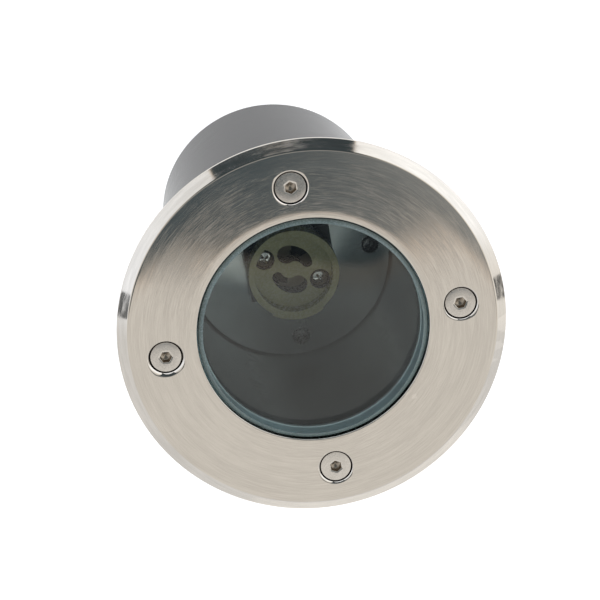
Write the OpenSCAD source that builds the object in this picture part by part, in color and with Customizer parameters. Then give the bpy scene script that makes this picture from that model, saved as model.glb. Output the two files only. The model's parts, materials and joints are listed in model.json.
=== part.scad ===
// Recessed ground light: a round trim ring with a stepped glass over a deep cylindrical housing.
// The housing holds a twist-lock lampholder on a bracket, a partition plate and the terminals.
// Millimetres. The origin is the centre of the trim ring's underside and +Z points out of the glass.

/* [Trim ring] */
// Outer diameter of the trim ring
ring_d = 110; // [106:1:130]
// Thickness of the trim ring
ring_t = 3; // [2.8:0.1:4]
// Diameter of the round window
window_d = 65.6; // [62:0.2:67]
// Width of the bevel at the outer edge
bevel_w = 3; // [1:0.1:4]
// Height of the bevel
bevel_h = 2.2; // [0.5:0.1:2.4]
// Break on the window's upper edge
window_break = 0.4; // [0.1:0.1:0.8]
// Depth of the shallow recess under the ring that the housing's head stands in
ring_relief = 0.4; // [0.2:0.1:0.6]

/* [Cover screws] */
// Diameter of the circle that the four cover screws stand on
cover_pcd = 84; // [82:0.5:86]
// Thread diameter of a cover screw
cover_screw_d = 4.84; // [4:0.02:5]
// Length of a cover screw with its countersunk head
cover_screw_len = 15.5; // [12:0.5:16]
// Diameter of the countersunk head
cover_head_d = 8.9; // [8.4:0.1:9.4]
// Straight edge of the countersunk head
cover_head_edge = 0.45; // [0.1:0.05:0.5]
// Depth of the head below the ring's face
cover_head_sink = 0.4; // [0.3:0.05:0.6]
// Width of the dished edge around each head
dish_w = 0.55; // [0.3:0.05:0.7]
// Depth of the dished edge
dish_h = 0.35; // [0.2:0.05:0.5]
// Width across the flats of the hex socket
cover_socket_af = 3; // [2.5:0.5:4]
// Depth of the hex socket
cover_socket_depth = 1.9; // [1:0.1:2.2]
// Depth of the drill point under the socket
drill_point_h = 0.6; // [0.3:0.1:0.8]

/* [Glass] */
// Whole thickness of the glass
glass_t = 8; // [6:0.5:10]
// Depth of the glass below the ring's face
glass_sink = 0.15; // [0:0.05:0.5]
// Gap between the glass step and the window
glass_gap = 0.4; // [0.4:0.1:1.5]
// Rounded edge of the glass step
glass_edge = 0.9; // [0.3:0.1:1.2]
// Reach of the lower flange past the step
glass_flange_w = 3.1; // [3:0.1:4]

/* [Lens gasket] */
// Thickness of the lip above the glass flange
gasket_lip_t = 0.8; // [0.5:0.1:1.2]
// Reach of that lip over the flange
gasket_lip_w = 2; // [1:0.1:2.6]
// Thickness of the gasket under the glass
gasket_base_t = 1.5; // [1:0.1:2.5]
// Thickness of the gasket's outer wall
gasket_wall = 1.2; // [0.8:0.1:1.5]
// Step of the gasket into the lamp chamber
gasket_inset = 0.5; // [0.2:0.1:1]

/* [Housing] */
// Outer diameter of the housing's barrel
body_d = 70.6; // [70:0.2:72]
// Wall of the barrel
body_wall = 3.7; // [3.4:0.1:4]
// Depth of the housing below the ring's underside
body_h = 118.5; // [112:0.5:150]
// Thickness of the housing's floor
floor_t = 4; // [3:0.5:6]
// Diameter of the head under the trim ring
head_d = 96; // [94:0.5:98]
// Thickness of the head
head_t = 10.5; // [9:0.5:14]
// Diameter of the boss around each cover screw
boss_d = 11; // [9:0.5:11.5]
// Depth of those bosses
boss_h = 17; // [16.5:0.5:22]
// Diameter of the posts that carry the partition plate
post_d = 8; // [6:0.5:8.5]
// Thickness of the ribs under the head
rib_t = 4; // [2:0.5:6]
// Height of those ribs
rib_h = 22; // [16:1:40]
// Edge break around the floor
floor_chamfer = 1; // [0.5:0.1:2]

/* [Partition plate] */
// Depth of the plate's top face below the ring's underside
plate_depth = 66.5; // [65:0.5:70]
// Thickness of the plate
plate_t = 3; // [2.6:0.1:4]
// Gap between the plate's edge and the barrel
plate_gap = 0.5; // [0.3:0.1:1]
// Diameter of the circle that the plate screws stand on
plate_pcd = 50.6; // [49.6:0.2:51.4]

/* [Small screws] */
// Thread diameter of the small screws
small_screw_d = 2.84; // [2.4:0.02:2.9]
// Head diameter of the small screws
small_head_d = 5.4; // [4.8:0.1:5.5]
// Head height of the small screws
small_head_h = 1.9; // [1.4:0.1:2.2]
// Length of a plate screw's shank
plate_screw_len = 8; // [6:0.5:12]

/* [Lampholder] */
// Depth of the lampholder's rim below the ring's underside
holder_depth = 50.5; // [45:0.5:51]
// Outer diameter of the lampholder
holder_d = 27.4; // [27:0.1:28.5]
// Width of the rim
rim_w = 1.9; // [1.5:0.1:2.2]
// Depth of the recess inside the rim
recess_h = 4.7; // [4.5:0.1:6]
// Height of the lampholder from its rim to its seat
holder_h = 10.5; // [10.3:0.1:10.8]
// Step of the lug on the rim
lug_w = 0.6; // [0.3:0.1:1]
// Diameter of the block under the seat
block_d = 17.8; // [17.6:0.1:18.2]
// Thickness of the back cover
back_t = 1.2; // [0.8:0.1:1.2]
// Distance between the two lamp pins
pin_spacing = 10; // [9.6:0.1:10.2]
// Wide end of a pin slot
slot_wide = 5.6; // [5:0.1:6]
// Narrow end of a pin slot
slot_narrow = 3.2; // [2.8:0.1:3.6]
// Twist of the lamp from entry to lock
slot_sweep = 84; // [70:1:86]
// Thickness of the floor that the slots go through
slot_lip = 2; // [1.5:0.1:2.5]
// Width of the chamber under each slot
chamber_w = 6.2; // [5.8:0.1:6.3]
// Diameter of the two screw pockets
pocket_d = 6.2; // [6:0.1:6.4]
// Depth of those pockets
pocket_h = 2.6; // [2:0.1:2.8]
// Distance between the two pockets
pocket_spacing = 18.1; // [17.9:0.1:18.4]
// Thickness of the contact strip
contact_t = 0.4; // [0.3:0.05:0.5]
// Height of the contact leaves
leaf_h = 4; // [3:0.1:4.2]

/* [Bracket] */
// Width of the bracket
bracket_w = 26.8; // [26.6:0.1:28]
// Depth of the bracket from front to back
bracket_d = 20; // [20:0.5:26]
// Thickness of the bracket's sheet
bracket_t = 1.5; // [1.2:0.1:1.6]

/* [Wiring] */
// Diameter of the insulated leads
lead_d = 2; // [1.6:0.1:2.2]
// Diameter of the bare conductor
conductor_d = 1.1; // [0.8:0.1:1.2]
// Diameter of the grommet's bore
grommet_bore_d = 9.2; // [9:0.1:9.6]
// Wall of the grommet inside the plate
grommet_wall = 1.4; // [1:0.1:1.5]
// Flange of the grommet over the plate
grommet_flange_w = 1; // [0.6:0.1:1.1]
// Thickness of those flanges
grommet_flange_t = 1.2; // [0.8:0.1:1.2]

/* [Terminal block] */
// Distance between two poles
pole_pitch = 8.6; // [8.4:0.1:9]
// Width of the block along its clamps
block_w = 14; // [13:0.5:14]
// Height of the block
block_t = 13; // [12:0.5:16]
// Distance of the block's middle from the housing's axis
block_r = 17.5; // [17.4:0.1:18]
// Outer diameter of a brass clamp
clamp_d = 4.2; // [3.8:0.1:4.4]
// Bore of a brass clamp
clamp_bore_d = 2.7; // [2.4:0.1:2.8]
// Thread diameter of the clamp screws
clamp_screw_d = 2.3; // [1.8:0.1:2.4]
// Head diameter of the clamp screws
clamp_head_d = 3.6; // [3:0.1:3.8]

/* [Earth terminal] */
// Distance of the earth screw from the housing's axis
earth_r = 19; // [18:0.5:20]
// Thread diameter of the earth screw
earth_screw_d = 3.84; // [3:0.02:4]
// Head diameter of the earth screw
earth_head_d = 7.6; // [6.8:0.1:8]
// Outer diameter of the lug's ring
lug_ring_d = 8; // [7:0.1:9]
// Thickness of the lug
lug_t = 0.8; // [0.6:0.1:1]
// Length of the lug's barrel
barrel_len = 5; // [4:0.5:6]

/* [Cable gland] */
// Thread diameter of the gland
gland_thread_d = 15.2; // [14:0.1:16]
// Width across the flats of the gland's hexagons
gland_af = 19; // [18:0.5:22]
// Thickness of the gland's hexagon
gland_hex_t = 5; // [3:0.5:8]
// Thickness of the gland's sealing washer
gland_washer_t = 1.5; // [1:0.1:2.5]
// Thickness of the lock nut inside the floor
lock_nut_t = 4; // [3:0.5:6]
// Length of the gland's lower thread
gland_lower_h = 10; // [8:0.5:14]
// Diameter of the gland's lower thread
gland_lower_d = 14.4; // [13.6:0.1:14.8]
// Diameter of the cable that the seal closes on
cable_d = 7; // [6:0.1:7.4]
// Wall of the rubber seal
seal_wall = 1.7; // [1.2:0.1:1.8]
// Length of the compression nut
gland_nut_h = 13.7; // [12.5:0.1:18]

/* [Hidden] */
$fn = 96;

// Named clearances
over = 0.5; // overrun of every cut
seat_gap = 0.1; // between a countersunk head and its seat
head_gap = 0.3; // round a countersunk head in its recess
hole_gap = 0.33; // round a screw in a plain hole
thread_gap = 0.06; // round a screw in a tapped hole
fit_gap = 0.1; // between parts that are assembled once
side_gap = 0.3; // beside parts that lift out or turn
glass_side_gap = 0.2; // between the glass flange and the gasket's wall

// Trim ring and its screws
ring_r = ring_d / 2;
window_r = window_d / 2;
relief_r = head_d / 2 + side_gap;
cover_turns = [0, 90, 180, 270];
socket_turns = [2, 30, -5, 32];
dish_turns = [-40, -110, -95, -130];
dish_shift_shares = [0.55, 0.3, 1, 0.7];
dish_shift = 0.45;
cover_screw_r = cover_screw_d / 2;
cover_head_r = cover_head_d / 2;
cover_head_z = ring_t - cover_head_sink;
cover_hole_r = cover_screw_r + hole_gap;
cover_recess_r = cover_head_r + head_gap;
cover_tap_r = cover_screw_r + thread_gap;
cone_gap = seat_gap * sqrt(2);
cone_z = cover_head_z - cover_head_edge - (cover_head_r - cover_screw_r);
drill_land = 0.15;
drill_r = cover_socket_af / 2 - drill_land;
lead_in = 0.9;

// Glass and gasket
glass_top = ring_t - glass_sink;
glass_bottom = glass_top - glass_t;
step_r = window_r - glass_gap;
flange_r = step_r + glass_flange_w;
edge_steps = 6;
gasket_in_r = flange_r + glass_side_gap;
gasket_r = gasket_in_r + gasket_wall;
seat_z = glass_bottom - gasket_base_t;
lip_z = ring_relief - gasket_lip_t;

// Housing
body_r = body_d / 2;
bore_r = body_r - body_wall;
head_r = head_d / 2;
counterbore_r = gasket_r + side_gap;
floor_z = floor_t - body_h;
gusset = 3;
collar_w = 1.4;
collar_r = body_r + fit_gap;
floor_r = bore_r - fit_gap;
boss_web_w = 8;
post_web_w = 4;
rib_turns = [45, 135, 225, 315];
rib_set_in = 4;
tap_floor = 0.75;
tap_h = boss_h - tap_floor;
post_tap_h = plate_screw_len + 2 * over;

// Partition plate and small screws
plate_z = -plate_depth;
plate_under = plate_z - plate_t;
plate_r = bore_r - plate_gap;
small_screw_r = small_screw_d / 2;
small_hole_r = small_screw_r + hole_gap;
small_tap_r = small_screw_r + thread_gap;
head_round_share = 0.35;
cross_len_share = 0.62;
cross_width_share = 0.16;
cross_depth_share = 0.55;
blind_floor = 0.6;
blind_h = plate_t - blind_floor;

// Lampholder
holder_z = -holder_depth;
holder_r = holder_d / 2;
recess_r = holder_r - rim_w;
recess_z = holder_z - recess_h;
holder_seat_z = holder_z - holder_h;
holder_turn = 60;
pin_r = pin_spacing / 2;
pocket_r = pocket_spacing / 2;
pocket_z = recess_z - pocket_h;
bracket_floor_z = plate_z + bracket_t;
back_z = bracket_floor_z + side_gap;
block_z = back_z + back_t;
block_round_r = block_d / 2;
tab_r = 2.9;
tab_gap = 0.3;
lug_from = -125;
lug_sweep = 65;
lug_h = 3;
slot_points = 9;
holder_screw_len = pocket_z - holder_seat_z + bracket_t + over;
lead_stand_r = pin_r - chamber_w / 2 + lead_d / 2 + side_gap;
leaf_sweep = 30;
contact_half_w = 2;

// Bracket
bracket_screw_x = bracket_w / 2 - bracket_t - small_hole_r + hole_gap - fit_gap;
bracket_screw_len = plate_t + bracket_t + over;
grommet_r = grommet_bore_d / 2 + grommet_wall;
grommet_flange_r = grommet_r + grommet_flange_w;

// Terminal block
pole_count = 3;
terminal_turn = 225;
terminal_len = pole_pitch * pole_count;
clamp_set_in = 1.5;
clamp_len = block_w - 2 * clamp_set_in;
clamp_z = -block_t / 2;
clamp_screw_x = clamp_len / 4;
neck_rise = 1;
neck_h = clamp_d / 2 + neck_rise;
clamp_cross_turn = 45;
block_cross_turn = 30;
well_h = 3;
block_screw_d = 2.34;
block_screw_head_d = 4.2;
block_screw_head_h = 1.5;
entry_x = block_r - block_w / 2;
pole_z = plate_under + clamp_z;

// Leads
lead_r = lead_d / 2;
conductor_r = conductor_d / 2;
lead_bend = 5;
lead_sides = 10;
lead_steps = 14;
strip_len = 4;
earth_bend = 9;

// Earth terminal
barrel_wall = 1.2;
barrel_neck = 0.4;
barrel_r = conductor_r + barrel_wall;
barrel_y = earth_r - lug_ring_d / 2 - barrel_neck;
barrel_z = plate_under - barrel_r - fit_gap;
earth_head_h = 2.4;
earth_cross_turn = 20;

// Cable gland
floor_under = -body_h;
gland_hole_r = gland_thread_d / 2 + fit_gap;
washer_z = floor_under - gland_washer_t;
gland_hex_z = washer_z - gland_hex_t;
gland_lower_z = gland_hex_z - gland_lower_h;
lock_nut_z = floor_z + lock_nut_t;
thread_end_h = 2;
gland_top_z = lock_nut_z + thread_end_h;
cable_r = cable_d / 2;
cable_gap = 1.1;
gland_bore_r = cable_r + cable_gap;
seal_r = cable_r + seal_wall;
seal_seat_r = seal_r + fit_gap;
seal_seat_h = 7;
seal_top_z = gland_lower_z + seal_seat_h;
nut_top_z = gland_hex_z - side_gap;
nut_bottom_z = nut_top_z - gland_nut_h;
nut_floor_t = 2.5;
nut_floor_z = nut_bottom_z + nut_floor_t;
nut_hex_share = 0.55;
seal_bottom_z = nut_floor_z + side_gap;
nut_mouth_gap = 0.9;
nut_mouth_r = cable_r + nut_mouth_gap;

// Circumradius of a hexagon from the width across its flats
function hex_r(af) = af / sqrt(3);
// Point on a circle
function polar(r, a) = [r * cos(a), r * sin(a)];
// Blend from a to b
function mix(a, b, t) = a + (b - a) * t;
// Point of a cubic curve with the four control points p
function cubic(p, t) = pow(1 - t, 3) * p[0] + 3 * pow(1 - t, 2) * t * p[1]
    + 3 * (1 - t) * t * t * p[2] + pow(t, 3) * p[3];
function unit(v) = v / norm(v);
// Direction of a route at point i
function heading(pts, i) = unit(pts[min(i + 1, len(pts) - 1)] - pts[max(i - 1, 0)]);

// Round bar or tube from z0 up to z1
module tube(r_out, r_in, z0, z1) {
    translate([0, 0, z0])
        difference() {
            cylinder(r = r_out, h = z1 - z0);
            if (r_in > 0)
                translate([0, 0, -over])
                    cylinder(r = r_in, h = z1 - z0 + 2 * over);
        }
}

module at(r, turn) {
    rotate([0, 0, turn]) translate([r, 0, 0]) children();
}

// Blind or through hole from z0 up to z1
module hole(r, z0, z1) {
    translate([0, 0, z0]) cylinder(r = r, h = z1 - z0);
}

// Pan-head screw that stands on z = 0 with its shank below
module pan_screw(d, len, head_d, head_h, turn = 0) {
    round_w = head_h * head_round_share;
    bar = head_d * cross_len_share;
    bar_w = head_d * cross_width_share;
    cut = head_h * cross_depth_share;
    difference() {
        rotate_extrude()
            polygon([
                [0, -len], [d / 2, -len], [d / 2, 0], [head_d / 2, 0], [head_d / 2, head_h - round_w],
                [head_d / 2 - round_w, head_h], [0, head_h]
            ]);
        for (quarter = [0, 90])
            rotate([0, 0, turn + quarter])
                translate([-bar / 2, -bar_w / 2, head_h - cut])
                    cube([bar, bar_w, cut + over]);
    }
}

module hex_prism(af, z0, z1) {
    translate([0, 0, z0]) cylinder(r = hex_r(af), h = z1 - z0, $fn = 6);
}

// Tube swept along a route, with one radius per point; side is never parallel to the route
module swept(pts, radii, side) {
    n = lead_sides;
    rings = [
        for (i = [0 : len(pts) - 1])
            let (t = heading(pts, i), u = unit(cross(t, side)), v = cross(t, u))
                for (k = [0 : n - 1])
                    pts[i] + radii[i] * (cos(360 * k / n) * u + sin(360 * k / n) * v)
    ];
    last = (len(pts) - 1) * n;
    sides = [
        for (i = [0 : len(pts) - 2])
            for (k = [0 : n - 1])
                let (a = i * n + k, b = i * n + (k + 1) % n)
                    each [[a, a + n, b], [b, a + n, b + n]]
    ];
    caps = [
        for (k = [1 : n - 2])
            each [[0, k, k + 1], [last, last + k + 1, last + k]]
    ];
    polyhedron(points = rings, faces = concat(sides, caps));
}

// Space that a cover screw takes up in the ring, with a dished edge that lies off centre
module cover_screw_recess(i) {
    hole_end_z = cone_z + cover_hole_r - cover_screw_r - cone_gap;
    cone_end_z = cone_z + cover_recess_r - cover_screw_r - cone_gap;
    rotate([0, 0, dish_turns[i] - cover_turns[i]])
        translate([dish_shift * dish_shift_shares[i], 0, ring_t - dish_h])
            cylinder(r1 = cover_recess_r, r2 = cover_recess_r + 2 * dish_w, h = 2 * dish_h);
    rotate_extrude()
        polygon([
            [0, -over], [cover_hole_r, -over], [cover_hole_r, hole_end_z],
            [cover_recess_r, cone_end_z], [cover_recess_r, ring_t + over], [0, ring_t + over]
        ]);
}

module trim_ring() {
    color([0.78, 0.74, 0.7])
        difference() {
            rotate_extrude()
                polygon([
                    [window_r, ring_relief], [relief_r, ring_relief], [relief_r, 0], [ring_r, 0],
                    [ring_r, ring_t - bevel_h],
                    [ring_r - bevel_w, ring_t], [window_r + window_break, ring_t],
                    [window_r, ring_t - window_break]
                ]);
            for (i = [0 : len(cover_turns) - 1])
                at(cover_pcd / 2, cover_turns[i]) cover_screw_recess(i);
        }
}

module glass_lens() {
    edge_z = glass_top - glass_edge;
    color([0.72, 0.85, 0.82, 0.45])
        rotate_extrude()
            polygon(concat(
                [[0, glass_bottom], [flange_r, glass_bottom], [flange_r, lip_z], [step_r, lip_z]],
                [for (i = [0 : edge_steps])
                    [step_r - glass_edge, edge_z] + polar(glass_edge, 90 * i / edge_steps)],
                [[0, glass_top]]
            ));
}

module lens_gasket() {
    color([0.55, 0.6, 0.6])
        rotate_extrude()
            polygon([
                [bore_r - gasket_inset, seat_z], [gasket_r, seat_z], [gasket_r, ring_relief],
                [flange_r - gasket_lip_w, ring_relief], [flange_r - gasket_lip_w, lip_z],
                [gasket_in_r, lip_z], [gasket_in_r, glass_bottom],
                [bore_r - gasket_inset, glass_bottom]
            ]);
}

module cover_screw(i) {
    end_z = cover_head_z - cover_screw_len;
    socket_z = cover_head_z - cover_socket_depth;
    color([0.8, 0.78, 0.74])
        at(cover_pcd / 2, cover_turns[i])
            difference() {
                rotate_extrude()
                    polygon([
                        [0, end_z], [cover_screw_r, end_z], [cover_screw_r, cone_z],
                        [cover_head_r, cover_head_z - cover_head_edge],
                        [cover_head_r, cover_head_z], [0, cover_head_z]
                    ]);
                rotate([0, 0, socket_turns[i] - cover_turns[i]])
                    hex_prism(cover_socket_af, socket_z, cover_head_z + over);
                rotate_extrude()
                    polygon([
                        [0, socket_z - drill_point_h], [drill_r, socket_z], [drill_r, socket_z + over],
                        [0, socket_z + over]
                    ]);
            }
}

// Rib between the head's collar and its underside
module head_rib(turn) {
    rotate([0, 0, turn])
        rotate([90, 0, 0])
            linear_extrude(height = rib_t, center = true)
                polygon([
                    [body_r - over, -rib_h], [collar_r + over, -rib_h],
                    [head_r - rib_set_in, -head_t - over], [head_r - rib_set_in, -head_t + over],
                    [body_r - over, -head_t + over]
                ]);
}

// Cast head: counterbore for the gasket, collar round the barrel, four bosses and four ribs
module housing_head() {
    boss_x = cover_pcd / 2;
    color([0.5, 0.5, 0.49])
        difference() {
            union() {
                rotate_extrude()
                    polygon([
                        [body_r - over, -head_t - gusset], [collar_r + collar_w, -head_t - gusset],
                        [collar_r + gusset, -head_t], [head_r, -head_t], [head_r, 0],
                        [head_r - ring_relief, ring_relief], [counterbore_r, ring_relief],
                        [counterbore_r, seat_z], [body_r - over, seat_z]
                    ]);
                for (turn = rib_turns)
                    head_rib(turn);
                for (turn = cover_turns) {
                    at(boss_x, turn) hole(boss_d / 2, -boss_h, -head_t + over);
                    rotate([0, 0, turn])
                        translate([body_r - over, -boss_web_w / 2, -boss_h])
                            cube([boss_x - body_r + over, boss_web_w, boss_h - head_t + over]);
                }
            }
            hole(collar_r, -rib_h - over, seat_z + over);
            for (turn = cover_turns)
                at(boss_x, turn) {
                    hole(cover_tap_r, -tap_h, over);
                    translate([0, 0, ring_relief - lead_in])
                        cylinder(r1 = cover_tap_r, r2 = cover_tap_r + lead_in + over, h = lead_in + over);
                }
        }
}

// Tube that the head sits on, closed by the floor
module housing_barrel() {
    color([0.5, 0.5, 0.49])
        rotate_extrude()
            polygon([
                [bore_r, floor_under], [body_r - floor_chamfer, floor_under],
                [body_r, floor_under + floor_chamfer], [body_r, seat_z], [bore_r, seat_z]
            ]);
}

// Floor with the gland's hole and the posts that carry the partition plate
module housing_floor() {
    post_x = plate_pcd / 2;
    color([0.48, 0.48, 0.47])
        difference() {
            intersection() {
                hole(floor_r, floor_under, plate_under);
                union() {
                    hole(floor_r + over, floor_under - over, floor_z);
                    for (turn = cover_turns) {
                        at(post_x, turn) hole(post_d / 2, floor_z - over, plate_under + over);
                        rotate([0, 0, turn])
                            translate([post_x, -post_web_w / 2, floor_z - over])
                                cube([floor_r - post_x + over, post_web_w, plate_under - floor_z + 2 * over]);
                    }
                }
            }
            for (turn = cover_turns)
                at(post_x, turn) hole(small_tap_r, plate_under - post_tap_h, plate_under + over);
            hole(gland_hole_r, floor_under - over, floor_z + over);
        }
}

module partition_plate() {
    color([0.66, 0.68, 0.68])
        difference() {
            hole(plate_r, plate_under, plate_z);
            for (turn = cover_turns)
                at(plate_pcd / 2, turn) hole(small_hole_r, plate_under - over, plate_z + over);
            hole(grommet_r + fit_gap, plate_under - over, plate_z + over);
            for (turn = [0, 180])
                at(bracket_screw_x, turn) hole(small_hole_r, plate_under - over, plate_z + over);
            rotate([0, 0, terminal_turn]) {
                for (side = [-1, 1])
                    translate([block_r, side * pole_pitch / 2, 0])
                        hole(block_screw_d / 2 + thread_gap, plate_under - over, plate_under + blind_h);
                translate([0, earth_r, 0])
                    hole(earth_screw_d / 2 + thread_gap, plate_under - over, plate_under + blind_h);
            }
        }
}

module plate_screws() {
    color([0.45, 0.45, 0.44])
        for (i = [0 : len(cover_turns) - 1])
            at(plate_pcd / 2, cover_turns[i])
                translate([0, 0, plate_z])
                    pan_screw(small_screw_d, plate_screw_len, small_head_d, small_head_h, socket_turns[i]);
}

// Outline of the block under the lampholder's seat, grown by a gap and notched beside the screws
module block_outline(grow, notch_r) {
    difference() {
        circle(r = block_round_r + grow);
        for (side = [-1, 1])
            translate([0, side * pocket_r]) circle(r = notch_r);
    }
}

module lamp_bracket() {
    inner_w = bracket_w - 2 * bracket_t;
    color([0.12, 0.12, 0.11])
        difference() {
            translate([-bracket_w / 2, -bracket_d / 2, plate_z])
                cube([bracket_w, bracket_d, holder_seat_z - plate_z]);
            translate([-inner_w / 2, -bracket_d / 2 - over, bracket_floor_z])
                cube([inner_w, bracket_d + 2 * over, holder_seat_z - bracket_t - bracket_floor_z]);
            hole(grommet_flange_r + side_gap, plate_z - over, bracket_floor_z + over);
            rotate([0, 0, holder_turn]) {
                translate([0, 0, holder_seat_z - bracket_t - over])
                    linear_extrude(height = bracket_t + 2 * over)
                        block_outline(tab_gap, tab_r);
                for (side = [-1, 1])
                    translate([0, side * pocket_r, 0])
                        hole(small_tap_r, holder_seat_z - bracket_t - over, holder_seat_z + over);
            }
            for (turn = [0, 180])
                at(bracket_screw_x, turn) hole(small_tap_r, plate_z - over, bracket_floor_z + over);
        }
}

module bracket_screws() {
    color([0.62, 0.62, 0.6])
        for (turn = [0, 180])
            at(bracket_screw_x, turn)
                translate([0, 0, plate_under])
                    rotate([180, 0, 0])
                        pan_screw(small_screw_d, bracket_screw_len, small_head_d, small_head_h, turn);
}

// Outline of a pin slot that narrows along its arc, or of its even chamber when both ends are equal
function slot_outline(wide, narrow) = let (half = slot_sweep / 2, n = slot_points) concat(
    [for (i = [0 : n]) let (t = i / n) polar(pin_r + mix(narrow, wide, t) / 2, mix(-half, half, t))],
    [for (i = [1 : n - 1]) polar(pin_r, half) + polar(wide / 2, half + 180 * i / n)],
    [for (i = [0 : n]) let (t = i / n) polar(pin_r - mix(wide, narrow, t) / 2, mix(half, -half, t))],
    [for (i = [1 : n - 1]) polar(pin_r, -half) + polar(narrow / 2, 180 - half + 180 * i / n)]
);

module lampholder_body() {
    color([0.86, 0.84, 0.72])
        difference() {
            union() {
                hole(holder_r, holder_seat_z, holder_z);
                rotate([0, 0, lug_from])
                    rotate_extrude(angle = lug_sweep)
                        translate([holder_r - over, holder_z - lug_h])
                            square([lug_w + over, lug_h]);
                rotate([0, 0, holder_turn])
                    translate([0, 0, block_z])
                        linear_extrude(height = holder_seat_z - block_z + over)
                            block_outline(0, tab_r + tab_gap);
            }
            hole(recess_r, recess_z, holder_z + over);
            for (turn = [holder_turn, holder_turn + 180])
                rotate([0, 0, turn]) {
                    translate([0, 0, recess_z - slot_lip - over])
                        linear_extrude(height = slot_lip + 2 * over)
                            polygon(slot_outline(slot_wide, slot_narrow));
                    translate([0, 0, block_z - over])
                        linear_extrude(height = recess_z - slot_lip - block_z + over)
                            polygon(slot_outline(chamber_w, chamber_w));
                    translate([0, pocket_r, 0]) {
                        hole(pocket_d / 2, pocket_z, recess_z + over);
                        hole(small_hole_r, holder_seat_z - over, pocket_z + over);
                    }
                }
        }
}

module lampholder_back() {
    color([0.35, 0.33, 0.28])
        difference() {
            rotate([0, 0, holder_turn])
                translate([0, 0, back_z])
                    linear_extrude(height = back_t)
                        block_outline(0, tab_r + tab_gap);
            for (turn = [holder_turn, holder_turn + 180])
                at(lead_stand_r, turn) hole(lead_r + fit_gap, back_z - over, block_z + over);
        }
}

module lampholder_screws() {
    color([0.8, 0.8, 0.78])
        for (turn = [holder_turn, holder_turn + 180])
            rotate([0, 0, turn])
                translate([0, pocket_r, pocket_z])
                    pan_screw(small_screw_d, holder_screw_len, small_head_d, small_head_h, turn);
}

// Spring contact: a strip on the back cover with two leaves that grip a lamp pin
module pin_contact(turn) {
    half = slot_sweep / 2;
    leaf_in = pin_r - contact_half_w;
    leaf_out = pin_r + contact_half_w - contact_t;
    color([0.72, 0.45, 0.22])
        rotate([0, 0, turn]) {
            rotate([0, 0, -half])
                rotate_extrude(angle = half + leaf_sweep / 2)
                    translate([lead_stand_r - lead_r, block_z])
                        square([pin_r + contact_half_w - lead_stand_r + lead_r, contact_t]);
            for (r = [leaf_in, leaf_out])
                rotate([0, 0, -half])
                    rotate_extrude(angle = leaf_sweep)
                        translate([r, block_z]) square([contact_t, leaf_h]);
        }
}

module live_contact() {
    pin_contact(holder_turn);
}

module neutral_contact() {
    pin_contact(holder_turn + 180);
}

module lead_grommet() {
    top = plate_z + grommet_flange_t;
    bottom = plate_under - grommet_flange_t;
    color([0.15, 0.15, 0.15])
        rotate_extrude()
            polygon([
                [grommet_bore_d / 2, bottom], [grommet_flange_r, bottom], [grommet_flange_r, plate_under],
                [grommet_r, plate_under], [grommet_r, plate_z], [grommet_flange_r, plate_z],
                [grommet_flange_r, top], [grommet_bore_d / 2, top]
            ]);
}

// Lead from a contact down through the grommet and round into its pole
module holder_lead(stand_turn, pole) {
    stand = polar(lead_stand_r, stand_turn - terminal_turn);
    turn_z = plate_under - grommet_flange_t - lead_r;
    pole_y = pole * pole_pitch;
    curve = [
        [stand[0], stand[1], turn_z], [stand[0], stand[1], turn_z - lead_bend],
        [entry_x - lead_bend, pole_y, pole_z], [entry_x, pole_y, pole_z]
    ];
    pts = concat(
        [[stand[0], stand[1], block_z], [stand[0], stand[1], plate_z]],
        [for (i = [0 : lead_steps]) cubic(curve, i / lead_steps)],
        [[entry_x + lead_r, pole_y, pole_z], [entry_x + strip_len, pole_y, pole_z]]
    );
    radii = [for (i = [0 : len(pts) - 1]) i < len(pts) - 2 ? lead_r : conductor_r];
    rotate([0, 0, terminal_turn]) swept(pts, radii, [0, 1, 0]);
}

module live_lead() {
    color([0.45, 0.28, 0.18]) holder_lead(holder_turn, -1);
}

module neutral_lead() {
    color([0.2, 0.35, 0.62]) holder_lead(holder_turn + 180, 0);
}

// Earth lead from its pole round to the lug's barrel
module earth_lead() {
    lug_end = barrel_y - barrel_len;
    curve = [
        [entry_x, pole_pitch, pole_z], [entry_x - earth_bend, pole_pitch, pole_z],
        [0, lug_end - earth_bend, barrel_z], [0, lug_end - fit_gap, barrel_z]
    ];
    pts = concat(
        [[entry_x + strip_len, pole_pitch, pole_z], [entry_x + lead_r, pole_pitch, pole_z]],
        [for (i = [0 : lead_steps]) cubic(curve, i / lead_steps)],
        [[0, lug_end, barrel_z], [0, lug_end + strip_len, barrel_z]]
    );
    radii = [for (i = [0 : len(pts) - 1]) i < 2 || i > len(pts) - 3 ? conductor_r : lead_r];
    color([0.55, 0.62, 0.2])
        rotate([0, 0, terminal_turn]) swept(pts, radii, [0, 0, 1]);
}

// Places its children at the terminal block's middle, under the plate
module at_block() {
    rotate([0, 0, terminal_turn]) translate([block_r, 0, plate_under]) children();
}

// Bar along the clamps' direction
module clamp_bar(r, length) {
    translate([-length / 2, 0, clamp_z]) rotate([0, 90, 0]) cylinder(r = r, h = length);
}

module terminal_block() {
    color([0.9, 0.9, 0.88])
        at_block()
            difference() {
                translate([-block_w / 2, -terminal_len / 2, -block_t])
                    cube([block_w, terminal_len, block_t]);
                for (pole = [-1 : 1])
                    translate([0, pole * pole_pitch, 0]) {
                        clamp_bar(clamp_d / 2 + fit_gap, block_w + 2 * over);
                        for (x = [-clamp_screw_x, clamp_screw_x])
                            translate([x, 0, 0])
                                hole(clamp_d / 2 + fit_gap, -block_t - over, clamp_z);
                    }
                for (side = [-1, 1])
                    translate([0, side * pole_pitch / 2, 0]) {
                        hole(block_screw_d / 2 + fit_gap, -block_t - over, over);
                        hole(block_screw_head_d / 2 + fit_gap, -block_t - over, well_h - block_t);
                    }
            }
}

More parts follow.
